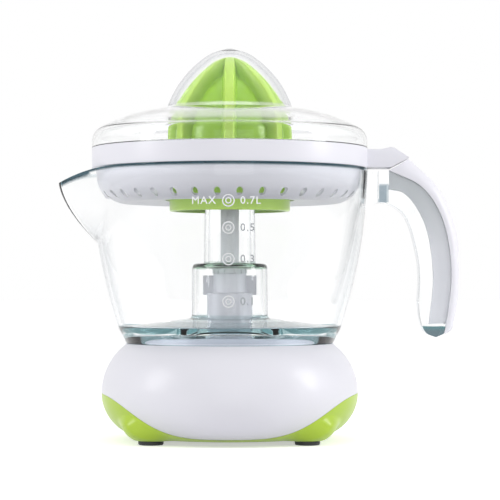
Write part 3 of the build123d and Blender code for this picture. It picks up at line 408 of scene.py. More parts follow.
def clearFinish(name, look):  # clear styrene: its own faint tint plus painted teal shade where a wall is seen lengthwise, painted grey shade along its outline
    finish, tree, shader, result = newFinish(name)
    worn, spot = groupIn(tree, handMarks, {"Smear Scale": look["smear"]})
    wall = tree.nodes.new("ShaderNodeAttribute")
    wall.attribute_name = "wallTintAndShade"
    facing = tree.nodes.new("ShaderNodeLayerWeight")
    outline = tree.nodes.new("ShaderNodeMapRange")
    outline.inputs["From Min"].default_value, outline.inputs["From Max"].default_value = look["outline"]
    tree.links.new(facing.outputs["Facing"], outline.inputs["Value"])
    # painted grey shade where the wall turns away, as strong as the corner's outline number
    strength = mathIn(tree, "MULTIPLY", outline.outputs["Result"], wall.outputs["Alpha"])
    tint = mixIn(tree, strength, wall.outputs["Color"], look["paintedOutlineGrey"])
    place = tree.nodes.new("ShaderNodeSeparateXYZ")
    tree.links.new(spot, place.inputs[0])
    for x0, x1, z0, z1, soft, colour in look.get("paintedZones", ()):  # painted shade and reflection in stretches where the eye looks along the plastic
        across = bandIn(tree, place.outputs["X"], axisX + x0 * mm, axisX + x1 * mm, soft * mm, soft * mm)
        upright = bandIn(tree, place.outputs["Z"], z0 * mm, z1 * mm, soft * mm, soft * mm)
        tint = mixIn(tree, mathIn(tree, "MULTIPLY", across, upright), tint, colour)
    tree.links.new(tint, shader.inputs["Base Color"])
    if "coat" in look:  # the flat slope mirrors the bright room
        slope = bandIn(tree, place.outputs["Z"], *(value * mm for value in look["coat"]))
        tree.links.new(slope, shader.inputs["Coat Weight"])
        shader.inputs["Coat IOR"].default_value = look["coatIor"]
        shader.inputs["Coat Roughness"].default_value = look["coatGloss"]
    surfaceIn(tree, shader, look, worn["Smear"], worn["Ripple"], touch["depth"])
    shader.inputs["Transmission Weight"].default_value = 1.0
    shader.inputs["IOR"].default_value = look["ior"]
    path = tree.nodes.new("ShaderNodeLightPath")
    through = tree.nodes.new("ShaderNodeBsdfTransparent")
    through.inputs["Color"].default_value = (*look["shadow"], 1)
    either = tree.nodes.new("ShaderNodeMixShader")
    tree.links.new(path.outputs["Is Shadow Ray"], either.inputs[0])
    tree.links.new(shader.outputs["BSDF"], either.inputs[1])
    tree.links.new(through.outputs["BSDF"], either.inputs[2])
    tree.links.new(either.outputs["Shader"], result.inputs["Surface"])
    depth = tree.nodes.new("ShaderNodeVolumeAbsorption")
    depth.inputs["Color"].default_value = (*look["depth"], 1)
    depth.inputs["Density"].default_value = look["density"]
    tree.links.new(depth.outputs["Volume"], result.inputs["Volume"])
    return finish


# the whites' second colour is painted shade: on the strainer's outside, the base's boss and the handle's leg
whiteLook = {"colour": (0.80, 0.795, 0.85), "shade": (0.775, 0.77, 0.83), "paintedLightShade": (0.52, 0.52, 0.565),
             "cloud": 14, "grain": 1500, "gloss": (0.34, 0.42), "bump": 0.03}
handleLook = {**whiteLook, "paintedLightShade": (0.50, 0.53, 0.56)}
baseGreenLook = {"colour": (0.46, 0.64, 0.05), "shade": (0.43, 0.61, 0.045),
                 "cloud": 16, "grain": 1400, "gloss": (0.30, 0.38), "bump": 0.012}
# the cone's second green is a painted highlight for its rib crests and collar
coneGreenLook = {"colour": (0.265, 0.485, 0.025), "shade": (0.24, 0.455, 0.022), "paintedLightShade": (0.42, 0.64, 0.085),
                 "cloud": 20, "grain": 1300, "gloss": (0.28, 0.38), "bump": 0.04}
rubberLook = {"colour": (0.035, 0.036, 0.045), "shade": (0.055, 0.055, 0.065),
              "cloud": 60, "grain": 2200, "gloss": (0.55, 0.7), "bump": 0.15}
steelLook = {"colour": (0.62, 0.62, 0.63), "shade": (0.55, 0.55, 0.57),
             "cloud": 90, "grain": 2600, "gloss": (0.25, 0.42), "bump": 0.05, "metal": 1.0}
greyLook = {"colour": (0.52, 0.54, 0.56), "shade": (0.48, 0.50, 0.52),
            "cloud": 40, "grain": 1800, "gloss": (0.3, 0.4), "bump": 0.05}
acetalLook = {"colour": (0.78, 0.77, 0.72), "shade": (0.73, 0.72, 0.67),
              "cloud": 50, "grain": 1600, "gloss": (0.3, 0.45), "bump": 0.05}
bronzeLook = {"colour": (0.42, 0.27, 0.13), "shade": (0.33, 0.20, 0.10),
              "cloud": 120, "grain": 3000, "gloss": (0.35, 0.5), "bump": 0.2, "metal": 1.0}
blackLook = {"colour": (0.02, 0.02, 0.022), "shade": (0.03, 0.03, 0.033),
             "cloud": 40, "grain": 1500, "gloss": (0.35, 0.5), "bump": 0.08}
ferriteLook = {"colour": (0.07, 0.07, 0.075), "shade": (0.045, 0.045, 0.05),
               "cloud": 150, "grain": 3200, "gloss": (0.5, 0.65), "bump": 0.2}
# the clear raised marks are painted: white for their highlights, grey shade on figures over white, a dark edge
# where they turn away
markLook = {"colour": (0.95, 0.95, 0.96), "shade": (0.92, 0.92, 0.93), "edge": (0.38, 0.40, 0.42),
            "paintedLightShade": (0.34, 0.36, 0.38), "cloud": 90, "grain": 2400, "gloss": (0.15, 0.3), "bump": 0.05}
jugLook = {
    "paintedOutlineGrey": (0.28, 0.32, 0.35), "outline": (0.54, 0.86), "smear": 26, "gloss": (0.0, 0.025), "bump": 0.02,
    "ior": 1.33, "shadow": (0.82, 0.84, 0.85), "depth": (0.55, 0.83, 0.85), "density": 1.5,
    "paintedZones": (  # painted shade: x from and to, z from and to, soft edge, colour
        (-48.5, 48.5, 50.6, 55.2, 0.4, (0.78, 0.81, 0.85)),  # middle of the foot ring
        (-200, 200, 55.5, 58.7, 0.3, (0.12, 0.25, 0.27)),  # floor
        (-200, 200, 49.0, 50.3, 0.2, (0.40, 0.54, 0.58)),  # line it stands on
        (-62, -48.5, 50.4, 55.2, 0.5, (0.62, 0.74, 0.78)),  # ends of the foot ring
        (48.5, 62, 50.4, 55.2, 0.5, (0.62, 0.74, 0.78)),
        (76.2, 81.4, 121.6, 131.5, 0.4, (0.34, 0.41, 0.46)),  # rib across the handle
        (96, 130, 40, 58.2, 2.2, (0.15, 0.21, 0.24)),  # toe of the handle
    ),
}
lidLook = {
    "paintedOutlineGrey": (0.36, 0.38, 0.42), "outline": (0.50, 0.94), "smear": 22, "gloss": (0.0, 0.03), "bump": 0.02,
    "ior": 1.32, "shadow": (0.85, 0.86, 0.86), "depth": (0.6, 0.8, 0.8), "density": 1.0,
    "coat": (160.3, 171.6, 1.2, 0.6), "coatIor": 2.5, "coatGloss": 0.06,  # z from and to, soft edges
}
whiteMoulding = mouldedFinish("whiteMoulding", whiteLook)
handleWhite = mouldedFinish("handleWhite", handleLook)
greenMoulding = mouldedFinish("greenMoulding", baseGreenLook)
greenReamer = mouldedFinish("greenReamer", coneGreenLook)
footRubber = mouldedFinish("footRubber", rubberLook)
zincSteel = mouldedFinish("zincSteel", steelLook)
greySpindle = mouldedFinish("greySpindle", greyLook)
markHighlightShade = mouldedFinish("markHighlightShade", markLook)
whiteAcetal = mouldedFinish("whiteAcetal", acetalLook)
sinteredBronze = mouldedFinish("sinteredBronze", bronzeLook)
blackNylon = mouldedFinish("blackNylon", blackLook)
ferriteGrey = mouldedFinish("ferriteGrey", ferriteLook)
jugClear = clearFinish("jugClear", jugLook)
lidClear = clearFinish("lidClear", lidLook)
clearTint = (0.997, 0.999, 0.999)
print("finishes made")

# dust cover
cover = {"r": 70.8, "foot": 149.8, "side": 153.2, "turn": 7.75, "lean": 60, "parts": 10, "neckR": 32.1,
         "neckZ": 169.8, "neckTurn": (1.6, 1.4), "crown": (13.4, 196.3), "top": 200.9, "wall": 1.8, "steps": 224,
         "pip": [(0.0, 201.0), (2.2, 201.0), (2.8, 200.86)], "pipTint": (0.90, 0.91, 0.92, 0.0),
         "ledge": [(68.3, 149.8), (68.3, 146.1), (68.0, 145.8), (66.8, 145.8), (66.5, 146.1), (66.5, 149.5),
                   (68.9, 150.3)],
         "insideFrom": 150.6, "domeFrom": 171, "shoulderFrom": 152}
shoulder = [(cover["r"], cover["foot"]), (cover["r"], cover["side"])]
for i in range(1, cover["parts"] + 1):
    t = math.radians(cover["lean"] / cover["parts"] * i)
    shoulder.append((cover["r"] - cover["turn"] * (1 - math.cos(t)), cover["side"] + cover["turn"] * math.sin(t)))
lean = math.radians(cover["lean"])
neckOut, neckUp = cover["neckTurn"]
slope = arcFrom(shoulder[-1], (-math.sin(lean), math.cos(lean)), (cover["neckR"] + neckOut, cover["neckZ"]), 14)
crown = arcFrom((0, cover["top"]), (1, 0), cover["crown"], 10)
dx, dz = crown[-1][0] - crown[-2][0], crown[-1][1] - crown[-2][1]
run = math.hypot(dx, dz)
flank = arcFrom(crown[-1], (dx / run, dz / run), (cover["neckR"], cover["neckZ"] + neckUp), 16)
skinLine = shoulder + slope[1:] + flank[::-1] + crown[::-1][1:]
pipEdge = cover["pip"][-1][0] + 0.1
lidLine = cover["pip"] + [p for p in skinLine[::-1] if p[0] > pipEdge] + cover["ledge"]
lidLine += [p for p in insetLine(skinLine, cover["wall"]) if p[1] > cover["insideFrom"]]
dustCover = drawLine("dustCoverClear", lidLine, closed=False)
spinRound(cover["steps"])


def lidTintAndShade(x, y, z):  # painted grey outline on the dome, little on the shoulder, none on the flat ledges
    pipR, pipZ = cover["pip"][1][0] + 0.3, cover["pip"][2][1] - 0.02
    if z > pipZ and math.hypot(x, y) < pipR:
        return cover["pipTint"]
    return (*clearTint, 1.0 if z > cover["domeFrom"] else 0.15 if z > cover["shoulderFrom"] else 0.0)


tintAndShadeWalls(dustCover, lidTintAndShade)
finishPiece(dustCover, "lid", ["dust_cover"], lidClear)
print("dust cover made")

# juicing cone: spun between the ribs, then the ribs are drawn out of it
reamer = {"ribs": 7, "ribW": 5.8, "ribR": 32.5, "valleyR": 27.3, "skirt": 164.6, "apex": 196.6,
          "brow": (12.8, 190.9), "valleyTop": 191.0, "hip": 160.6, "crestFoot": 129.6, "valleyFoot": 128.8,
          "browRows": 12, "rows": 34, "footRows": 6, "steps": 420, "edge": 0.75,
          "collarR": 29, "collarZ": 126, "collarHighlight": 0.9}
crest = arcThrough((0.0, reamer["apex"]), (5.0, 195.5), reamer["brow"], reamer["browRows"])
ribFoot = (reamer["ribR"], reamer["skirt"])
crest += arcThrough(reamer["brow"], (23.7, 179.7), ribFoot, reamer["rows"] - reamer["browRows"] + 1)[1:]
hip = (reamer["valleyR"], reamer["hip"])
valley = arcThrough((0.0, reamer["valleyTop"]), (15.56, 180.64), hip, reamer["rows"])
for i in range(1, reamer["footRows"] + 1):
    part = i / reamer["footRows"]
    crest.append((reamer["ribR"], reamer["skirt"] - (reamer["skirt"] - reamer["crestFoot"]) * part))
    valley.append((reamer["valleyR"], reamer["hip"] - (reamer["hip"] - reamer["valleyFoot"]) * part))
underside = rounded([(30.9, 128.5, 0.6), (31.0, 117.5, 1.6), (28.8, 117.5, 0.5), (28.8, 126.5, 1),
                     (25.3, 129.0, 1), (25.3, 160.0, 2)], 4)
underside += [(20.0, 172.0), (12.0, 181.0), (7.4, 184.0), (7.4, 128.0), (4.7, 128.0), (4.7, 150.0), (0.0, 150.0)]
cone = drawLine("reamerCone", valley + underside, closed=False)
spinRound(reamer["steps"])


def nearRib(x, y):  # distance across from the middle of the nearest rib
    step = math.tau / reamer["ribs"]
    off = math.remainder(math.atan2(y, x) + math.pi / 2, step)
    return math.hypot(x, y) * abs(math.sin(off))


valleyRows = {(round(vx, 2), round(vz, 2)): goal for (vx, vz), goal in zip(valley, crest)}
# painted highlight: the collar's outside and the rib crests take the cone's paler green
paintedLightShade = cone.data.attributes.new("paintedLightShade", "FLOAT", "POINT")
for vertex, item in zip(cone.data.vertices, paintedLightShade.data):
    x, y, z = local(vertex.co)
    r = math.hypot(x, y)
    item.value = reamer["collarHighlight"] if r > reamer["collarR"] and z < reamer["collarZ"] else 0.0
    goal = valleyRows.get((round(r, 2), round(z, 2)))
    if goal is None:
        continue
    if r < 0.01:
        vertex.co.z = goal[1] * mm
        continue
    lift = 1.0
    for _ in range(4):  # the rib keeps its width while it leans out
        out = r + (goal[0] - r) * lift
        across = nearRib(x / r * out, y / r * out)
        t = max(0.0, min(1.0, (reamer["ribW"] / 2 + reamer["edge"] - across) / (2 * reamer["edge"])))
        lift = t * t * (3 - 2 * t)
    out = r + (goal[0] - r) * lift
    # painted highlight on the rib crest, full where the rib stands out
    item.value = lift
    vertex.co.x = axisX + x / r * out * mm
    vertex.co.y = y / r * out * mm
    vertex.co.z = (z + (goal[1] - z) * lift) * mm
finishPiece(cone, "cone", ["juicing_cone"], greenReamer, 50)
print("cone made")

# strainer bowl
bowl = {"steps": 224, "slots": 36, "slotR": 63.2, "slotZ": 125.4, "slot": (1.7, 2.05), "slotDeep": 10.0,
        "tabW": 18.0, "tabEdge": 0.8, "tabFrom": 140.2, "shade": 0.9, "shadeTo": 139.2}
outer = arcThrough((56.5, 121.8), (63.0, 125.2), (67.2, 133.0), 14)
inner = arcThrough((65.0, 133.0), (61.35, 126.74), (56.5, 124.0), 12)
rimBand = [(67.2, 133.0), (68.0, 139.4), (70.8, 139.4, 0.35), (70.8, 149.8, 0.5), (68.6, 149.8, 0.5),
           (68.6, 143.4, 1), (65.8, 139.4, 1), (65.0, 133.0)]
dish = [(56.5, 124.0), (35.4, 124.0, 0.3), (35.4, 124.8, 0.3), (33.2, 124.8, 0.3), (33.2, 123.1, 0.3),
        (52.0, 122.3), (56.5, 121.8)]
strainer = drawLine("strainerBowl", outer + rounded(rimBand, 4)[1:-1] + inner + rounded(dish, 4)[1:-1])
spinRound(bowl["steps"])
tab = drawLine("tab", rounded([(69.8, 149.1), (77.3, 149.1, 8), (83.3, 150.4, 4), (92.0, 144.8, 0.4),
                               (82.4, 139.75, 0.4), (69.8, 139.75)]))
thicken(bowl["tabW"] / 2)
softenEdges(tab, bowl["tabEdge"], 3, lambda a: a.z > bowl["tabFrom"] * mm)
combine(strainer, tab, "UNION")
pick()
bpy.ops.mesh.primitive_circle_add(vertices=18, radius=mm, fill_type="NGON", location=(0, 0, 0))
slotTool = bpy.context.object
bpy.ops.object.mode_set(mode="EDIT")
bpy.ops.mesh.select_all(action="SELECT")
bpy.ops.transform.resize(value=(*bowl["slot"], 1))
bpy.ops.transform.translate(value=(0, 0, -bowl["slotDeep"] / 2 * mm))
bpy.ops.mesh.extrude_region_move(TRANSFORM_OT_translate={"value": (0, 0, bowl["slotDeep"] * mm)})
closeEdit()
slotTools = []
for i in range(bowl["slots"]):
    turn = math.radians(-90 + (i + 0.5) * 360 / bowl["slots"])
    slot = copyOf(slotTool)
    slot.rotation_euler = (math.pi / 2, 0, turn + math.pi / 2)
    x, y = bowl["slotR"] * math.cos(turn), bowl["slotR"] * math.sin(turn)
    slot.location = (axisX + x * mm, y * mm, bowl["slotZ"] * mm)
    slotTools.append(slot)
bpy.data.objects.remove(slotTool)
combine(strainer, joinPieces("slots", slotTools), "DIFFERENCE")


def bowlShade(vertex):  # outside, the bowl hangs in the shade of the jug
    x, y, normal = vertex.co.x - axisX, vertex.co.y, vertex.normal
    outward = (normal.x * x + normal.y * y) / max(math.hypot(x, y), mm)
    below = vertex.co.z < bowl["shadeTo"] * mm
    return bowl["shade"] if below and (outward > 0.1 or normal.z < -0.3) else 0.0


shadeBy(strainer, bowlShade)
finishPiece(strainer, "sieve", ["strainer"], whiteMoulding)
print("strainer made")

# jug
jug = {"low": (57.0, 57.0), "mid": (65.5, 89.0), "rim": (71.2, 139.4), "wall": 2.2, "floor": 58.4, "steps": 256,
       "spout": 88.1, "spoutTip": 132.1, "spoutRoot": 100.0, "nose": 5.0, "noseInside": 0.8, "ease": 0.05,
       "belly": 1.45, "sink": 0.4, "dip": 52.0, "drop": 7.3, "fall": 2.2, "fine": 0.8, "finest": 0.3,
       # painted dark shade on the rim and the spout's edges, painted green reflection on the tower's step,
       # painted teal shade at the tower's foot
       "rimShade": (0.10, 0.20, 0.23, 1.0), "spoutNearShade": (0.04, 0.10, 0.13, 1.0),
       "spoutFarShade": (0.75, 0.80, 0.82, 0.3), "stepGreenReflection": (0.20, 0.42, 0.26, 0.3),
       "towerFootShade": (0.72, 0.84, 0.84, 0.3)}
rimR, rimZ = jug["rim"]
wallLine = arcThrough(jug["low"], jug["mid"], jug["rim"], 44)


def wallR(z):  # outside radius of the wall at a height
    return jug["low"][0] if z <= jug["low"][1] else readOff(wallLine, z)


def spoutR(turn, z, inset):  # how far the spout reaches in a direction, turn from its middle
    share = min((z - jug["spoutRoot"]) / (jug["spoutTip"] - jug["spoutRoot"]), 1.0)
    if share <= 0:
        return 0.0
    share *= (1 + jug["ease"]) * share / (share + jug["ease"])  # eases out of the wall
    wall = wallR(z)
    reach = wall + (jug["spout"] - wall) * (1 - (1 - share) ** jug["belly"]) - inset
    wall -= inset + jug["sink"]
    nose = jug["nose"] - jug["noseInside"] * inset
    touching = math.acos(min((wall - nose) / (reach - nose), 1.0))
    tip = math.atan2(nose * math.sin(touching), reach - nose + nose * math.cos(touching))
    turn = abs(turn)
    if turn > touching:
        return 0.0
    if turn > tip:
        return wall / math.cos(touching - turn)
    c = reach - nose
    return c * math.cos(turn) + math.sqrt(max(nose ** 2 - (c * math.sin(turn)) ** 2, 0))


def rimDrop(run):  # the rim falls towards the spout
    return jug["drop"] * max((run - jug["dip"]) / (jug["spout"] - jug["dip"]), 0.0) ** jug["fall"]


innerFoot = (wallR(jug["floor"]) - jug["wall"], jug["floor"])
inside = arcThrough((rimR - jug["wall"], rimZ), (jug["mid"][0] - jug["wall"], jug["mid"][1]), innerFoot, 44)
footRing = rounded([(50.2, 49.75, 0.4), (53.2, 49.75, 0.6), (53.7, 50.6)], 4) + [(55.4, 54.0), (56.2, 55.5)]
rimTurn = rounded([(71.12, 138.5), (*jug["rim"], 0.7), (69.0, 139.4, 0.7), (68.92, 138.5)])
tower = rounded([inside[-2], (*innerFoot, 3.0), (19.6, 62.8, 2.2), (19.3, 90.8, 2.5), (13.3, 90.8, 1.0),
                 (12.8, 124.0, 0.7), (10.7, 124.0, 0.7), (11.2, 88.8, 0.8), (17.3, 88.8, 1.2), (17.3, 60.2, 0.8),
                 (50.2, 55.8, 0.8), (50.2, 49.75)])
jugBody = drawLine("jugClear", footRing + wallLine[:-1] + rimTurn + inside[1:-1] + tower[1:-1])
spinRound(jug["steps"])
for vertex in jugBody.data.vertices:
    x, y, z = local(vertex.co)
    r = math.hypot(x, y)
    turn = math.atan2(y, -x)
    u = abs(turn) / jug["fine"]
    if u < 1:  # closer steps at the nose of the spout
        turn = math.copysign(jug["fine"] * u * (jug["finest"] + (1 - jug["finest"]) * u), turn)
    if r > 55 and z > 70:  # the wall, not the tower or the floor
        inset = max(min(wallR(z) - r, jug["wall"]), 0.0)
        high = max(z - jug["spoutRoot"], 0.0) / (rimZ - jug["spoutRoot"])
        zNew = z
        for _ in range(5):
            rNew = max(wallR(zNew) - inset, spoutR(turn, zNew, inset))
            zNew = z - rimDrop(rNew * math.cos(turn)) * high
        r, z = rNew, zNew
    vertex.co = (axisX - r * math.cos(turn) * mm, r * math.sin(turn) * mm, z * mm)

handle = {"w": 18.0, "wall": 2.2, "gap": 0.25, "reach": 46.7, "edge": 3.0, "edgeFrom": 6, "root": 1.1,
          "slit": (73.4, 76.3), "slitFloor": 123.6, "open": (130.0, 150.0)}


def grip(share, drop):  # a corner of the handle: share of its reach past the rim, drop below the rim
    return (rimR + share * handle["reach"], rimZ - drop)


gripBack = [grip(0.45, -5.2), grip(0.797, 11.7), grip(0.970, 33.1), grip(0.999, 52.0), grip(0.985, 68.0),
            grip(0.935, 80.0)]
gripSeam = [grip(0.22, 1.2), grip(0.576, 9.5), grip(0.797, 25.0), grip(0.90, 50.0), grip(0.87, 72.0),
            grip(0.82, 84.8)]
gripWeb = [grip(0.22, 11.0), grip(0.385, 13.0), grip(0.600, 27.5), grip(0.700, 54.0), grip(0.655, 79.6)]
gripFront = [grip(0.0, 20.4), grip(0.06, 18.2), grip(0.17, 17.6), grip(0.386, 23.5), grip(0.53, 43.5),
             grip(0.559, 56.0), grip(0.548, 70.0), grip(0.576, 79.6), grip(0.63, 84.4), grip(0.73, 86.4)]
frontLine = softCurve(gripFront, 7)
seamLine = softCurve(gripSeam, 9)
webLine = softCurve(gripWeb, 9)
channelLine = frontLine + insetLine(seamLine, -handle["gap"])[::-1]
rootLow, rootHigh = frontLine[0][1], channelLine[-1][1]
for i in range(7):  # back down inside the jug's wall
    z = rootHigh - (rootHigh - rootLow) * i / 6
    channelLine.append((wallR(z) - handle["root"], z))
channel = drawLine("channel", channelLine)
thicken(handle["w"] / 2)
frontSpots = {(round(axisX + x * mm, 6), round(z * mm, 6)) for x, z in frontLine[handle["edgeFrom"]:]}
softenEdges(channel, handle["edge"], 5, lambda a: (round(a.x, 6), round(a.z, 6)) in frontSpots)
slitLow, slitHigh = handle["slit"]
openX, openZ = handle["open"]
hollow = webLine + [(openX, webLine[-1][1]), (openX, openZ), (webLine[0][0], openZ)]
slit = [(slitLow, handle["slitFloor"]), (slitHigh, handle["slitFloor"]), (slitHigh, openZ), (slitLow, openZ)]
for pocketLine in (hollow, slit):  # between the two a rib is left across
    pocket = drawLine("pocket", pocketLine)
    thicken(handle["w"] / 2 - handle["wall"])
    combine(channel, pocket, "DIFFERENCE")
combine(jugBody, channel, "UNION")


def jugTintAndShade(x, y, z):  # painted shade and reflection colours; the last number is the strength of the painted grey outline
    r = math.hypot(x, y)
    out = r - wallR(z)
    rimDeep = 2.1 if x < -70 and y < 0 else 0.95
    handleRoot = x > 62 and abs(y) < 12 and 108 < z < 138.6 and out < 2.5
    onHandle = x > 68 and abs(y) < 9.5 and out > 0.6
    onRim = r > 55 and z > 125 and z > rimZ - rimDrop(-x) - rimDeep
    onWall = r > 45 and z > 58
    towerStep = 12.5 < r < 20 and 88.5 < z < 91
    towerFoot = 19 < r < 23 and z < 64.5
    if handleRoot:
        return (*clearTint, 0.1)
    if onHandle:
        return (*clearTint, 0.9)
    if onRim and x < -66:
        return jug["spoutNearShade"] if y < 0 else jug["spoutFarShade"]
    if onRim:
        return jug["rimShade"]
    if onWall:
        return (*clearTint, 0.6)
    if towerStep:
        return jug["stepGreenReflection"]
    if towerFoot:
        return jug["towerFootShade"]
    return (*clearTint, 1.0 if z > 64 else 0.0)


tintAndShadeWalls(jugBody, jugTintAndShade)
finishPiece(jugBody, "pitcher", ["jug"], jugClear, 38)
print("jug made")

# scale marks, raised on the front of the jug
scale = {"ring": 2.75, "dot": 1.25, "wire": 0.32, "size": 5.2, "proud": 0.3, "bevel": 0.05, "space": 1.15,
         "rows": ((120.4, "0.7L"), (107.4, "0.5"), (92.3, "0.3"), (71.7, "0.1")),
         "right": 5.7, "left": -18.0, "greyBelow": 115}
markPieces = []


def wrapMark(piece, x, z):  # lays a flat mark round the wall
    for vertex in piece.data.vertices:
        px, pz, deep = x * mm + vertex.co.x, z * mm + vertex.co.y, vertex.co.z
        radius = wallR(pz / mm) * mm + deep
        turn = px / radius
        vertex.co = (axisX + radius * math.sin(turn), -radius * math.cos(turn), pz)
    markPieces.append(piece)


def addWord(text, x, z):
    pick()
    bpy.ops.object.text_add()
    word = bpy.context.object.data
    word.body = text
    word.size = scale["size"] * mm
    word.extrude = scale["proud"] / 2 * mm
    word.bevel_depth = scale["bevel"] * mm
    word.space_character = scale["space"]
    word.align_y = "CENTER"
    word.resolution_u = 4
    bpy.ops.object.convert(target="MESH")
    if z < scale["greyBelow"]:  # painted grey shade on the clear figures where white lies behind them
        shadeBy(bpy.context.object, lambda vertex: 1.0)
    wrapMark(bpy.context.object, x, z)


for z, text in scale["rows"]:
    for radius in (scale["ring"], scale["dot"]):
        pick()
        bpy.ops.mesh.primitive_torus_add(major_radius=radius * mm, minor_radius=scale["wire"] * mm,
                                         major_segments=40, minor_segments=8)
        wrapMark(bpy.context.object, 0, z)
    addWord(text, scale["right"], z)
addWord("MAX", scale["left"], scale["rows"][0][0])
finishPiece(joinPieces("scaleMarks", markPieces), "pitcher", [], markHighlightShade)
print("scale marks made")

# white handle cover with its leg inside the clear channel
shellForm = {"rows": 80, "parts": 10, "depth": 0.8, "turn": 7.5, "last": 0.993,
             "legFrom": 60.0, "shade": (0.25, 1.0), "shadeFrom": 85, "shadeRun": 35, "flush": 0.02}
backLine = softCurve(gripBack, 9)[:-1] + arcThrough(gripBack[-1], grip(0.895, 83.8), gripSeam[-1], 9)


def along(line, share):  # a spot part of the way along a drawn line
    runs = [math.dist(a, b) for a, b in zip(line, line[1:])]
    left = share * sum(runs)
    for a, b, run in zip(line, line[1:], runs):
        if left <= run:
            return a[0] + (b[0] - a[0]) * left / run, a[1] + (b[1] - a[1]) * left / run
        left -= run
    return line[-1]


section = [(0.0, handle["w"] / 2)]  # share of the way from the seam to the back, distance from the middle
for i in range(shellForm["parts"] + 1):
    t = math.pi / 2 * i / shellForm["parts"]
    side = handle["w"] / 2 - shellForm["turn"] * (1 - math.cos(t))
    section.append((1 - shellForm["depth"] * (1 - math.sin(t)), side))
section += [(share, -side) for share, side in section[::-1]]
section.append(section[0])
around = len(section) - 1
pick()
bpy.ops.mesh.primitive_grid_add(x_subdivisions=shellForm["rows"], y_subdivisions=around, size=2)
handleShell = bpy.context.object
handleShell.name = handleShell.data.name = "handleShell"
for vertex in handleShell.data.vertices:  # the grid is wrapped round the cover
    part = shellForm["last"] * (vertex.co.x + 1) / 2
    share, side = section[round((vertex.co.y + 1) / 2 * around)]
    (sx, sz), (bx, bz) = along(seamLine, part), along(backLine, part)
    vertex.co = (axisX + (sx + (bx - sx) * share) * mm, side * mm, (sz + (bz - sz) * share) * mm)
capEnds()
legHalf = handle["w"] / 2 - handle["wall"] - handle["gap"]
legBack = [p for p in seamLine[::-1] if p[1] > shellForm["legFrom"]]
leg = drawLine("leg", insetLine(webLine, handle["gap"]) + legBack)
thicken(legHalf)
combine(handleShell, leg, "UNION")


def legShade(vertex):  # the leg lies in the shade of the channel, deeper towards its top
    low, high = shellForm["shade"]
    if abs(abs(vertex.co.y / mm) - legHalf) > shellForm["flush"]:
        return 0.0
    return max(low, min(high, (vertex.co.z / mm - shellForm["shadeFrom"]) / shellForm["shadeRun"]))


shadeBy(handleShell, legShade)
finishPiece(handleShell, "pitcher", ["handle_cover"], handleWhite, 40)
print("handle cover made")

# base: white shell and green tray, parted along the wave
base = {"r": 65.9, "waist": 24.5, "low": 22.5, "top": 30.9, "wall": 2.4, "foot": 2.2, "waveLow": 3.8,
        "waveHigh": 24.4, "power": 1.8, "waveParts": 96, "wavePast": 14, "toolLow": -10.0, "toolHalf": 80,
        "gap": 0.12, "steps": 256, "traySteps": 400, "finR": 13.7, "finZ": (74.6, 84.6), "finW": 1.8,
        "bossFrom": 54.6, "bossR": 16}
ring = base["r"] - base["low"]  # the bulb's lower half is a tube of this radius


def bulbLine(inset, fromZ, toZ, count):  # outline of the bulb between two heights
    made = []
    for i in range(count):
        z = fromZ + (toZ - fromZ) * (1 - math.cos(math.pi * i / (count - 1))) / 2
        arc = base["low"] if z < base["waist"] else base["top"]
        made.append((base["r"] - arc + math.sqrt(max((arc - inset) ** 2 - (z - base["waist"]) ** 2, 0)), z))
    return made


def waveZ(x):  # height of the parting line
    u = min(abs(x) / base["r"], 1.0)
    rise = (1 - math.cos(math.pi * u ** base["power"])) / 2
    return base["waveLow"] + (base["waveHigh"] - base["waveLow"]) * rise


def waveTool(shift):  # everything under the wave, drawn on a little past the base
    end = base["waveParts"] + base["wavePast"]
    across = [base["r"] * i / base["waveParts"] for i in range(-end, end + 1)]
    crest = [(x, waveZ(x) - shift) for x in across]
    tool = drawLine("wave", crest + [(crest[-1][0], base["toolLow"]), (crest[0][0], base["toolLow"])])
    thicken(base["toolHalf"])
    return tool


boss = [(54.5, 49.3), (53.3, 49.6, 0.6), (49.2, 49.6, 0.6), (49.2, 54.5, 1.2), (11.7, 54.5, 1.5),
        (11.7, 75.6, 0.6), (8.5, 75.6, 0.5), (8.5, 85.6, 0.4), (6.5, 85.6, 0.2), (6.5, 73.6), (9.2, 73.6),
        (9.2, 52.1), (46.8, 52.1), (46.8, 47.2)]
shellLine = bulbLine(0, 3.0, 49.0, 56) + rounded(boss, 4)[1:] + bulbLine(base["wall"], 3.0, 46.6, 40)[::-1]
shell = drawLine("baseShell", shellLine)
spinRound(base["steps"])
combine(shell, waveTool(-base["gap"]), "DIFFERENCE")
finR, (finLow, finHigh) = base["finR"], base["finZ"]
fin = drawLine("fin", [(-finR, finLow), (finR, finLow), (finR, finHigh), (-finR, finHigh)])
thicken(base["finW"] / 2)
combine(shell, fin, "UNION")


def bossShade(vertex):  # the boss stands in the shade of the jug's tower
    x, _, z = local(vertex.co)
    return 1.0 if z > base["bossFrom"] and abs(x) < base["bossR"] else 0.0


shadeBy(shell, bossShade)
finishPiece(shell, "base", ["base_housing"], whiteMoulding)

feet = {"x": 39.0, "y": 33.0, "r": 6.35, "steps": 48, "toe": ((7.4, 2.2), (11.8, 4.8), (14.6, 10.2)),
        "toeTop": 6.0, "lean": 0.75, "blend": 4.5, "flush": 4.0, "fromR": 20, "toZ": 17, "skin": 0.5,
        "floorTop": 3, "pushes": 14, "pace": 0.8, "close": 0.002}
toeLine = arcThrough(*feet["toe"], 24)
widest, widestZ = feet["toe"][-1]
trayLine = [(r, base["foot"]) for r in (0.0, 20.0, 32.0, 38.0, 42.0, 45.0)] + bulbLine(0, 2.3, 26.0, 70)
trayLine += bulbLine(base["wall"], 5.0, 26.0, 30)[::-1] + [(40.0, 4.6), (0.0, 4.6)]
tray = drawLine("baseTray", trayLine, closed=False)
spinRound(base["traySteps"])


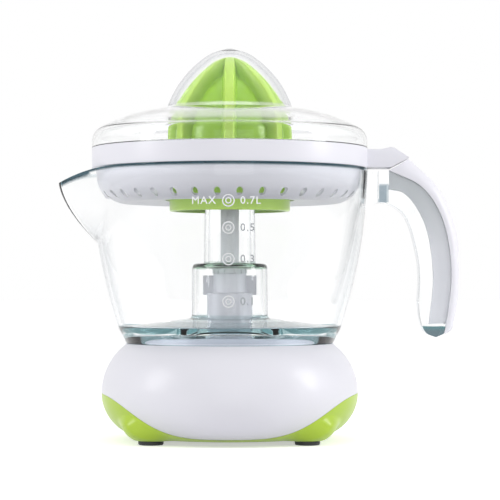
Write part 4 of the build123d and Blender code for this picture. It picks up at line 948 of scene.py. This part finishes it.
def toeR(z):  # radius of the toe round a foot: convex below, closing above
    if z > widestZ:
        return widest * math.sqrt(max(1 - ((z - widestZ) / feet["toeTop"]) ** 2, 0.0))
    return readOff(toeLine, z)


def tubeDepth(r, z):  # below zero inside the bulb's lower half
    return math.hypot(r - ring, z - base["waist"]) - base["low"]


def trayDepth(x, y, z):  # below zero inside the tray: bulb and four toes melted together
    r = math.hypot(x, y)
    bulb = tubeDepth(r, z) if r > ring else base["foot"] - z
    toe = 99.0  # far away
    if z < widestZ + feet["toeTop"]:
        toe = (math.hypot(abs(x) - feet["x"], abs(y) - feet["y"]) - toeR(z)) * feet["lean"]
    h = max(feet["blend"] - abs(bulb - toe), 0.0) / feet["blend"]
    return min(bulb, toe) - h * h * feet["blend"] / 4


for vertex in tray.data.vertices:
    x, y, z = local(vertex.co)
    r = math.hypot(x, y)
    onInside = tubeDepth(r, z) < -feet["skin"] if r > ring else z > feet["floorTop"]
    if r < feet["fromR"] or z > feet["toZ"] or onInside:  # only the outside near the toes is moved
        continue
    nr, nz = ((r - ring) / base["low"], (z - base["waist"]) / base["low"]) if r > ring else (0.0, -1.0)
    nx, ny = x / r * nr, y / r * nr
    goal = [x, y, z]
    for _ in range(feet["pushes"]):  # pushed out until it lies on the melted shape
        d = trayDepth(*goal)
        if d > -feet["close"]:
            break
        push = d * feet["pace"]
        goal = [goal[0] - nx * push, goal[1] - ny * push, max(goal[2] - nz * push, base["foot"])]
    share = max(0.0, min(1.0, (waveZ(x) - z) / feet["flush"]))  # flush with the white shell at the wave
    x, y, z = (a + (b - a) * share for a, b in zip((x, y, z), goal))
    vertex.co = (axisX + x * mm, y * mm, z * mm)
combine(tray, waveTool(0.0), "INTERSECT")
finishPiece(tray, "base", ["base_tray"], greenMoulding)
print("base made")

# rubber feet, one turned and copied
foot = drawLine("foot", rounded([(0.0, 0.0), (feet["r"], 0.0, 0.9), (feet["r"], 2.2, 0.2), (3.0, 2.2), (2.5, 2.4),
                                 (2.5, 6.2), (0.0, 6.2)], 4), closed=False)
spinRound(feet["steps"])
footPieces = []
for sx, sy in ((-1, -1), (-1, 1), (1, -1), (1, 1)):
    twin = copyOf(foot)
    for vertex in twin.data.vertices:
        vertex.co.x += sx * feet["x"] * mm
        vertex.co.y += sy * feet["y"] * mm
    footPieces.append(twin)
bpy.data.objects.remove(foot)
finishPiece(joinPieces("rubberFeet", footPieces), "base", ["rubber_feet"], footRubber)
print("feet made")

# return spring, squeezed by the thrust cup when the cone is pressed
springLow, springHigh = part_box("return_spring")
spring = {"r": 5.15, "wire": 0.55, "sides": 14, "turns": 5, "steps": 40, "press": 2.5}
low, high = springLow.z / mm + spring["wire"], springHigh.z / mm - spring["wire"]
wireLine = []
for i in range(spring["sides"]):
    t = math.tau * i / spring["sides"]
    wireLine.append((spring["r"] + spring["wire"] * math.cos(t), low + spring["wire"] * math.sin(t)))
coil = drawLine("returnSpring", wireLine)
bpy.ops.object.mode_set(mode="OBJECT")
for vertex in coil.data.vertices:  # the screw turns about the origin
    vertex.co.x -= axisX
step = coil.modifiers.new("wind", "SCREW")
step.angle = math.tau
step.screw_offset = (high - low) / spring["turns"] * mm
step.iterations = spring["turns"]
step.steps = step.render_steps = spring["steps"]
step.use_merge_vertices = False
bpy.ops.object.modifier_apply(modifier=step.name)
for vertex in coil.data.vertices:
    vertex.co.x += axisX
capEnds()
finishPiece(coil, "base", ["return_spring"], zincSteel)
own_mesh(coil)
print("spring made")

# finishes for the CAD nodes that stay
nodeFinish = (
    (zincSteel, ("tray_screws", "gearbox_plate", "plate_screws", "motor_can", "motor_screws", "motor_rotor",
                 "motor_shaft", "idler_axle", "axle_clip")),
    (whiteAcetal, ("motor_pinion", "idler_gear", "output_gear", "thrust_washer", "thrust_cup", "switch_plunger")),
    (footRubber, ("cord_gland", "spindle_seal")),
    (blackNylon, ("motor_end_cap", "switch_body")),
    (greySpindle, ("spindle", "seal_retainer")),
    (sinteredBronze, ("upper_bush", "lower_bush")),
    (ferriteGrey, ("motor_magnets",)),
)
for finish, names in nodeFinish:
    for name in names:
        cadNodes[name].data.materials.clear()
        cadNodes[name].data.materials.append(finish)

# floor, light and camera
studio = {"floor": 14, "colour": (0.86, 0.86, 0.87, 1), "rough": 0.9, "shine": 0.1, "glow": 0.5,
          "fill": 0.62, "seen": 0.38}
pick()
bpy.ops.mesh.primitive_plane_add(size=studio["floor"], location=(0, 0, 0))
floor = bpy.context.object
floor.name = "floor"
paleFloor, tree, shader, result = newFinish("paleFloor")
shader.inputs["Base Color"].default_value = studio["colour"]
shader.inputs["Roughness"].default_value = studio["rough"]
shader.inputs["Specular IOR Level"].default_value = studio["shine"]
glow = tree.nodes.new("ShaderNodeEmission")
tree.links.new(mathIn(tree, "MULTIPLY", seenIn(tree), studio["glow"]), glow.inputs["Strength"])
both = tree.nodes.new("ShaderNodeAddShader")
tree.links.new(shader.outputs["BSDF"], both.inputs[0])
tree.links.new(glow.outputs["Emission"], both.inputs[1])
tree.links.new(both.outputs["Shader"], result.inputs["Surface"])
floor.data.materials.append(paleFloor)

world = bpy.data.worlds.new("studio")
bpy.context.scene.world = world
world.use_nodes = True
tree = world.node_tree
power = mathIn(tree, "ADD", mathIn(tree, "MULTIPLY", seenIn(tree), studio["seen"]), studio["fill"])
tree.nodes["Background"].inputs["Color"].default_value = (1, 1, 1, 1)
tree.links.new(power, tree.nodes["Background"].inputs["Strength"])

lamps = {
    "leftBox": {"at": (-1.0, -0.36, 0.48), "size": (0.22, 0.60), "power": 3.6},
    "rightBox": {"at": (1.0, -0.22, 0.48), "size": (0.24, 0.60), "power": 4.9},
    "frontBox": {"at": (0.1, -1.7, 0.45), "size": (1.0, 0.8), "power": 2.3},
    "topBox": {"at": (0.0, -0.10, 1.25), "size": (0.9, 0.9), "power": 1.0},
}
for name, lamp in lamps.items():
    bpy.ops.object.light_add(type="AREA", location=lamp["at"])
    light = bpy.context.object
    light.name = name
    light.data.shape = "RECTANGLE"
    light.data.size, light.data.size_y = lamp["size"]
    light.data.energy = lamp["power"]
    aim = (spindleLow + spindleHigh) / 2 - light.location
    light.rotation_euler = aim.to_track_quat("-Z", "Y").to_euler()

view = {"aside": 0.0104, "back": 1.030, "height": 0.0817, "lens": 144, "sensor": 36, "shift": 0.062}
eye = (axisX + view["aside"], -view["back"], view["height"])
bpy.ops.object.camera_add(location=eye, rotation=(math.pi / 2, 0, 0))
camera = bpy.context.object
camera.data.lens = view["lens"]
camera.data.sensor_width = view["sensor"]
camera.data.shift_y = view["shift"]
bpy.context.scene.camera = camera
bpy.context.scene.view_settings.view_transform = "Standard"
print("stage set")
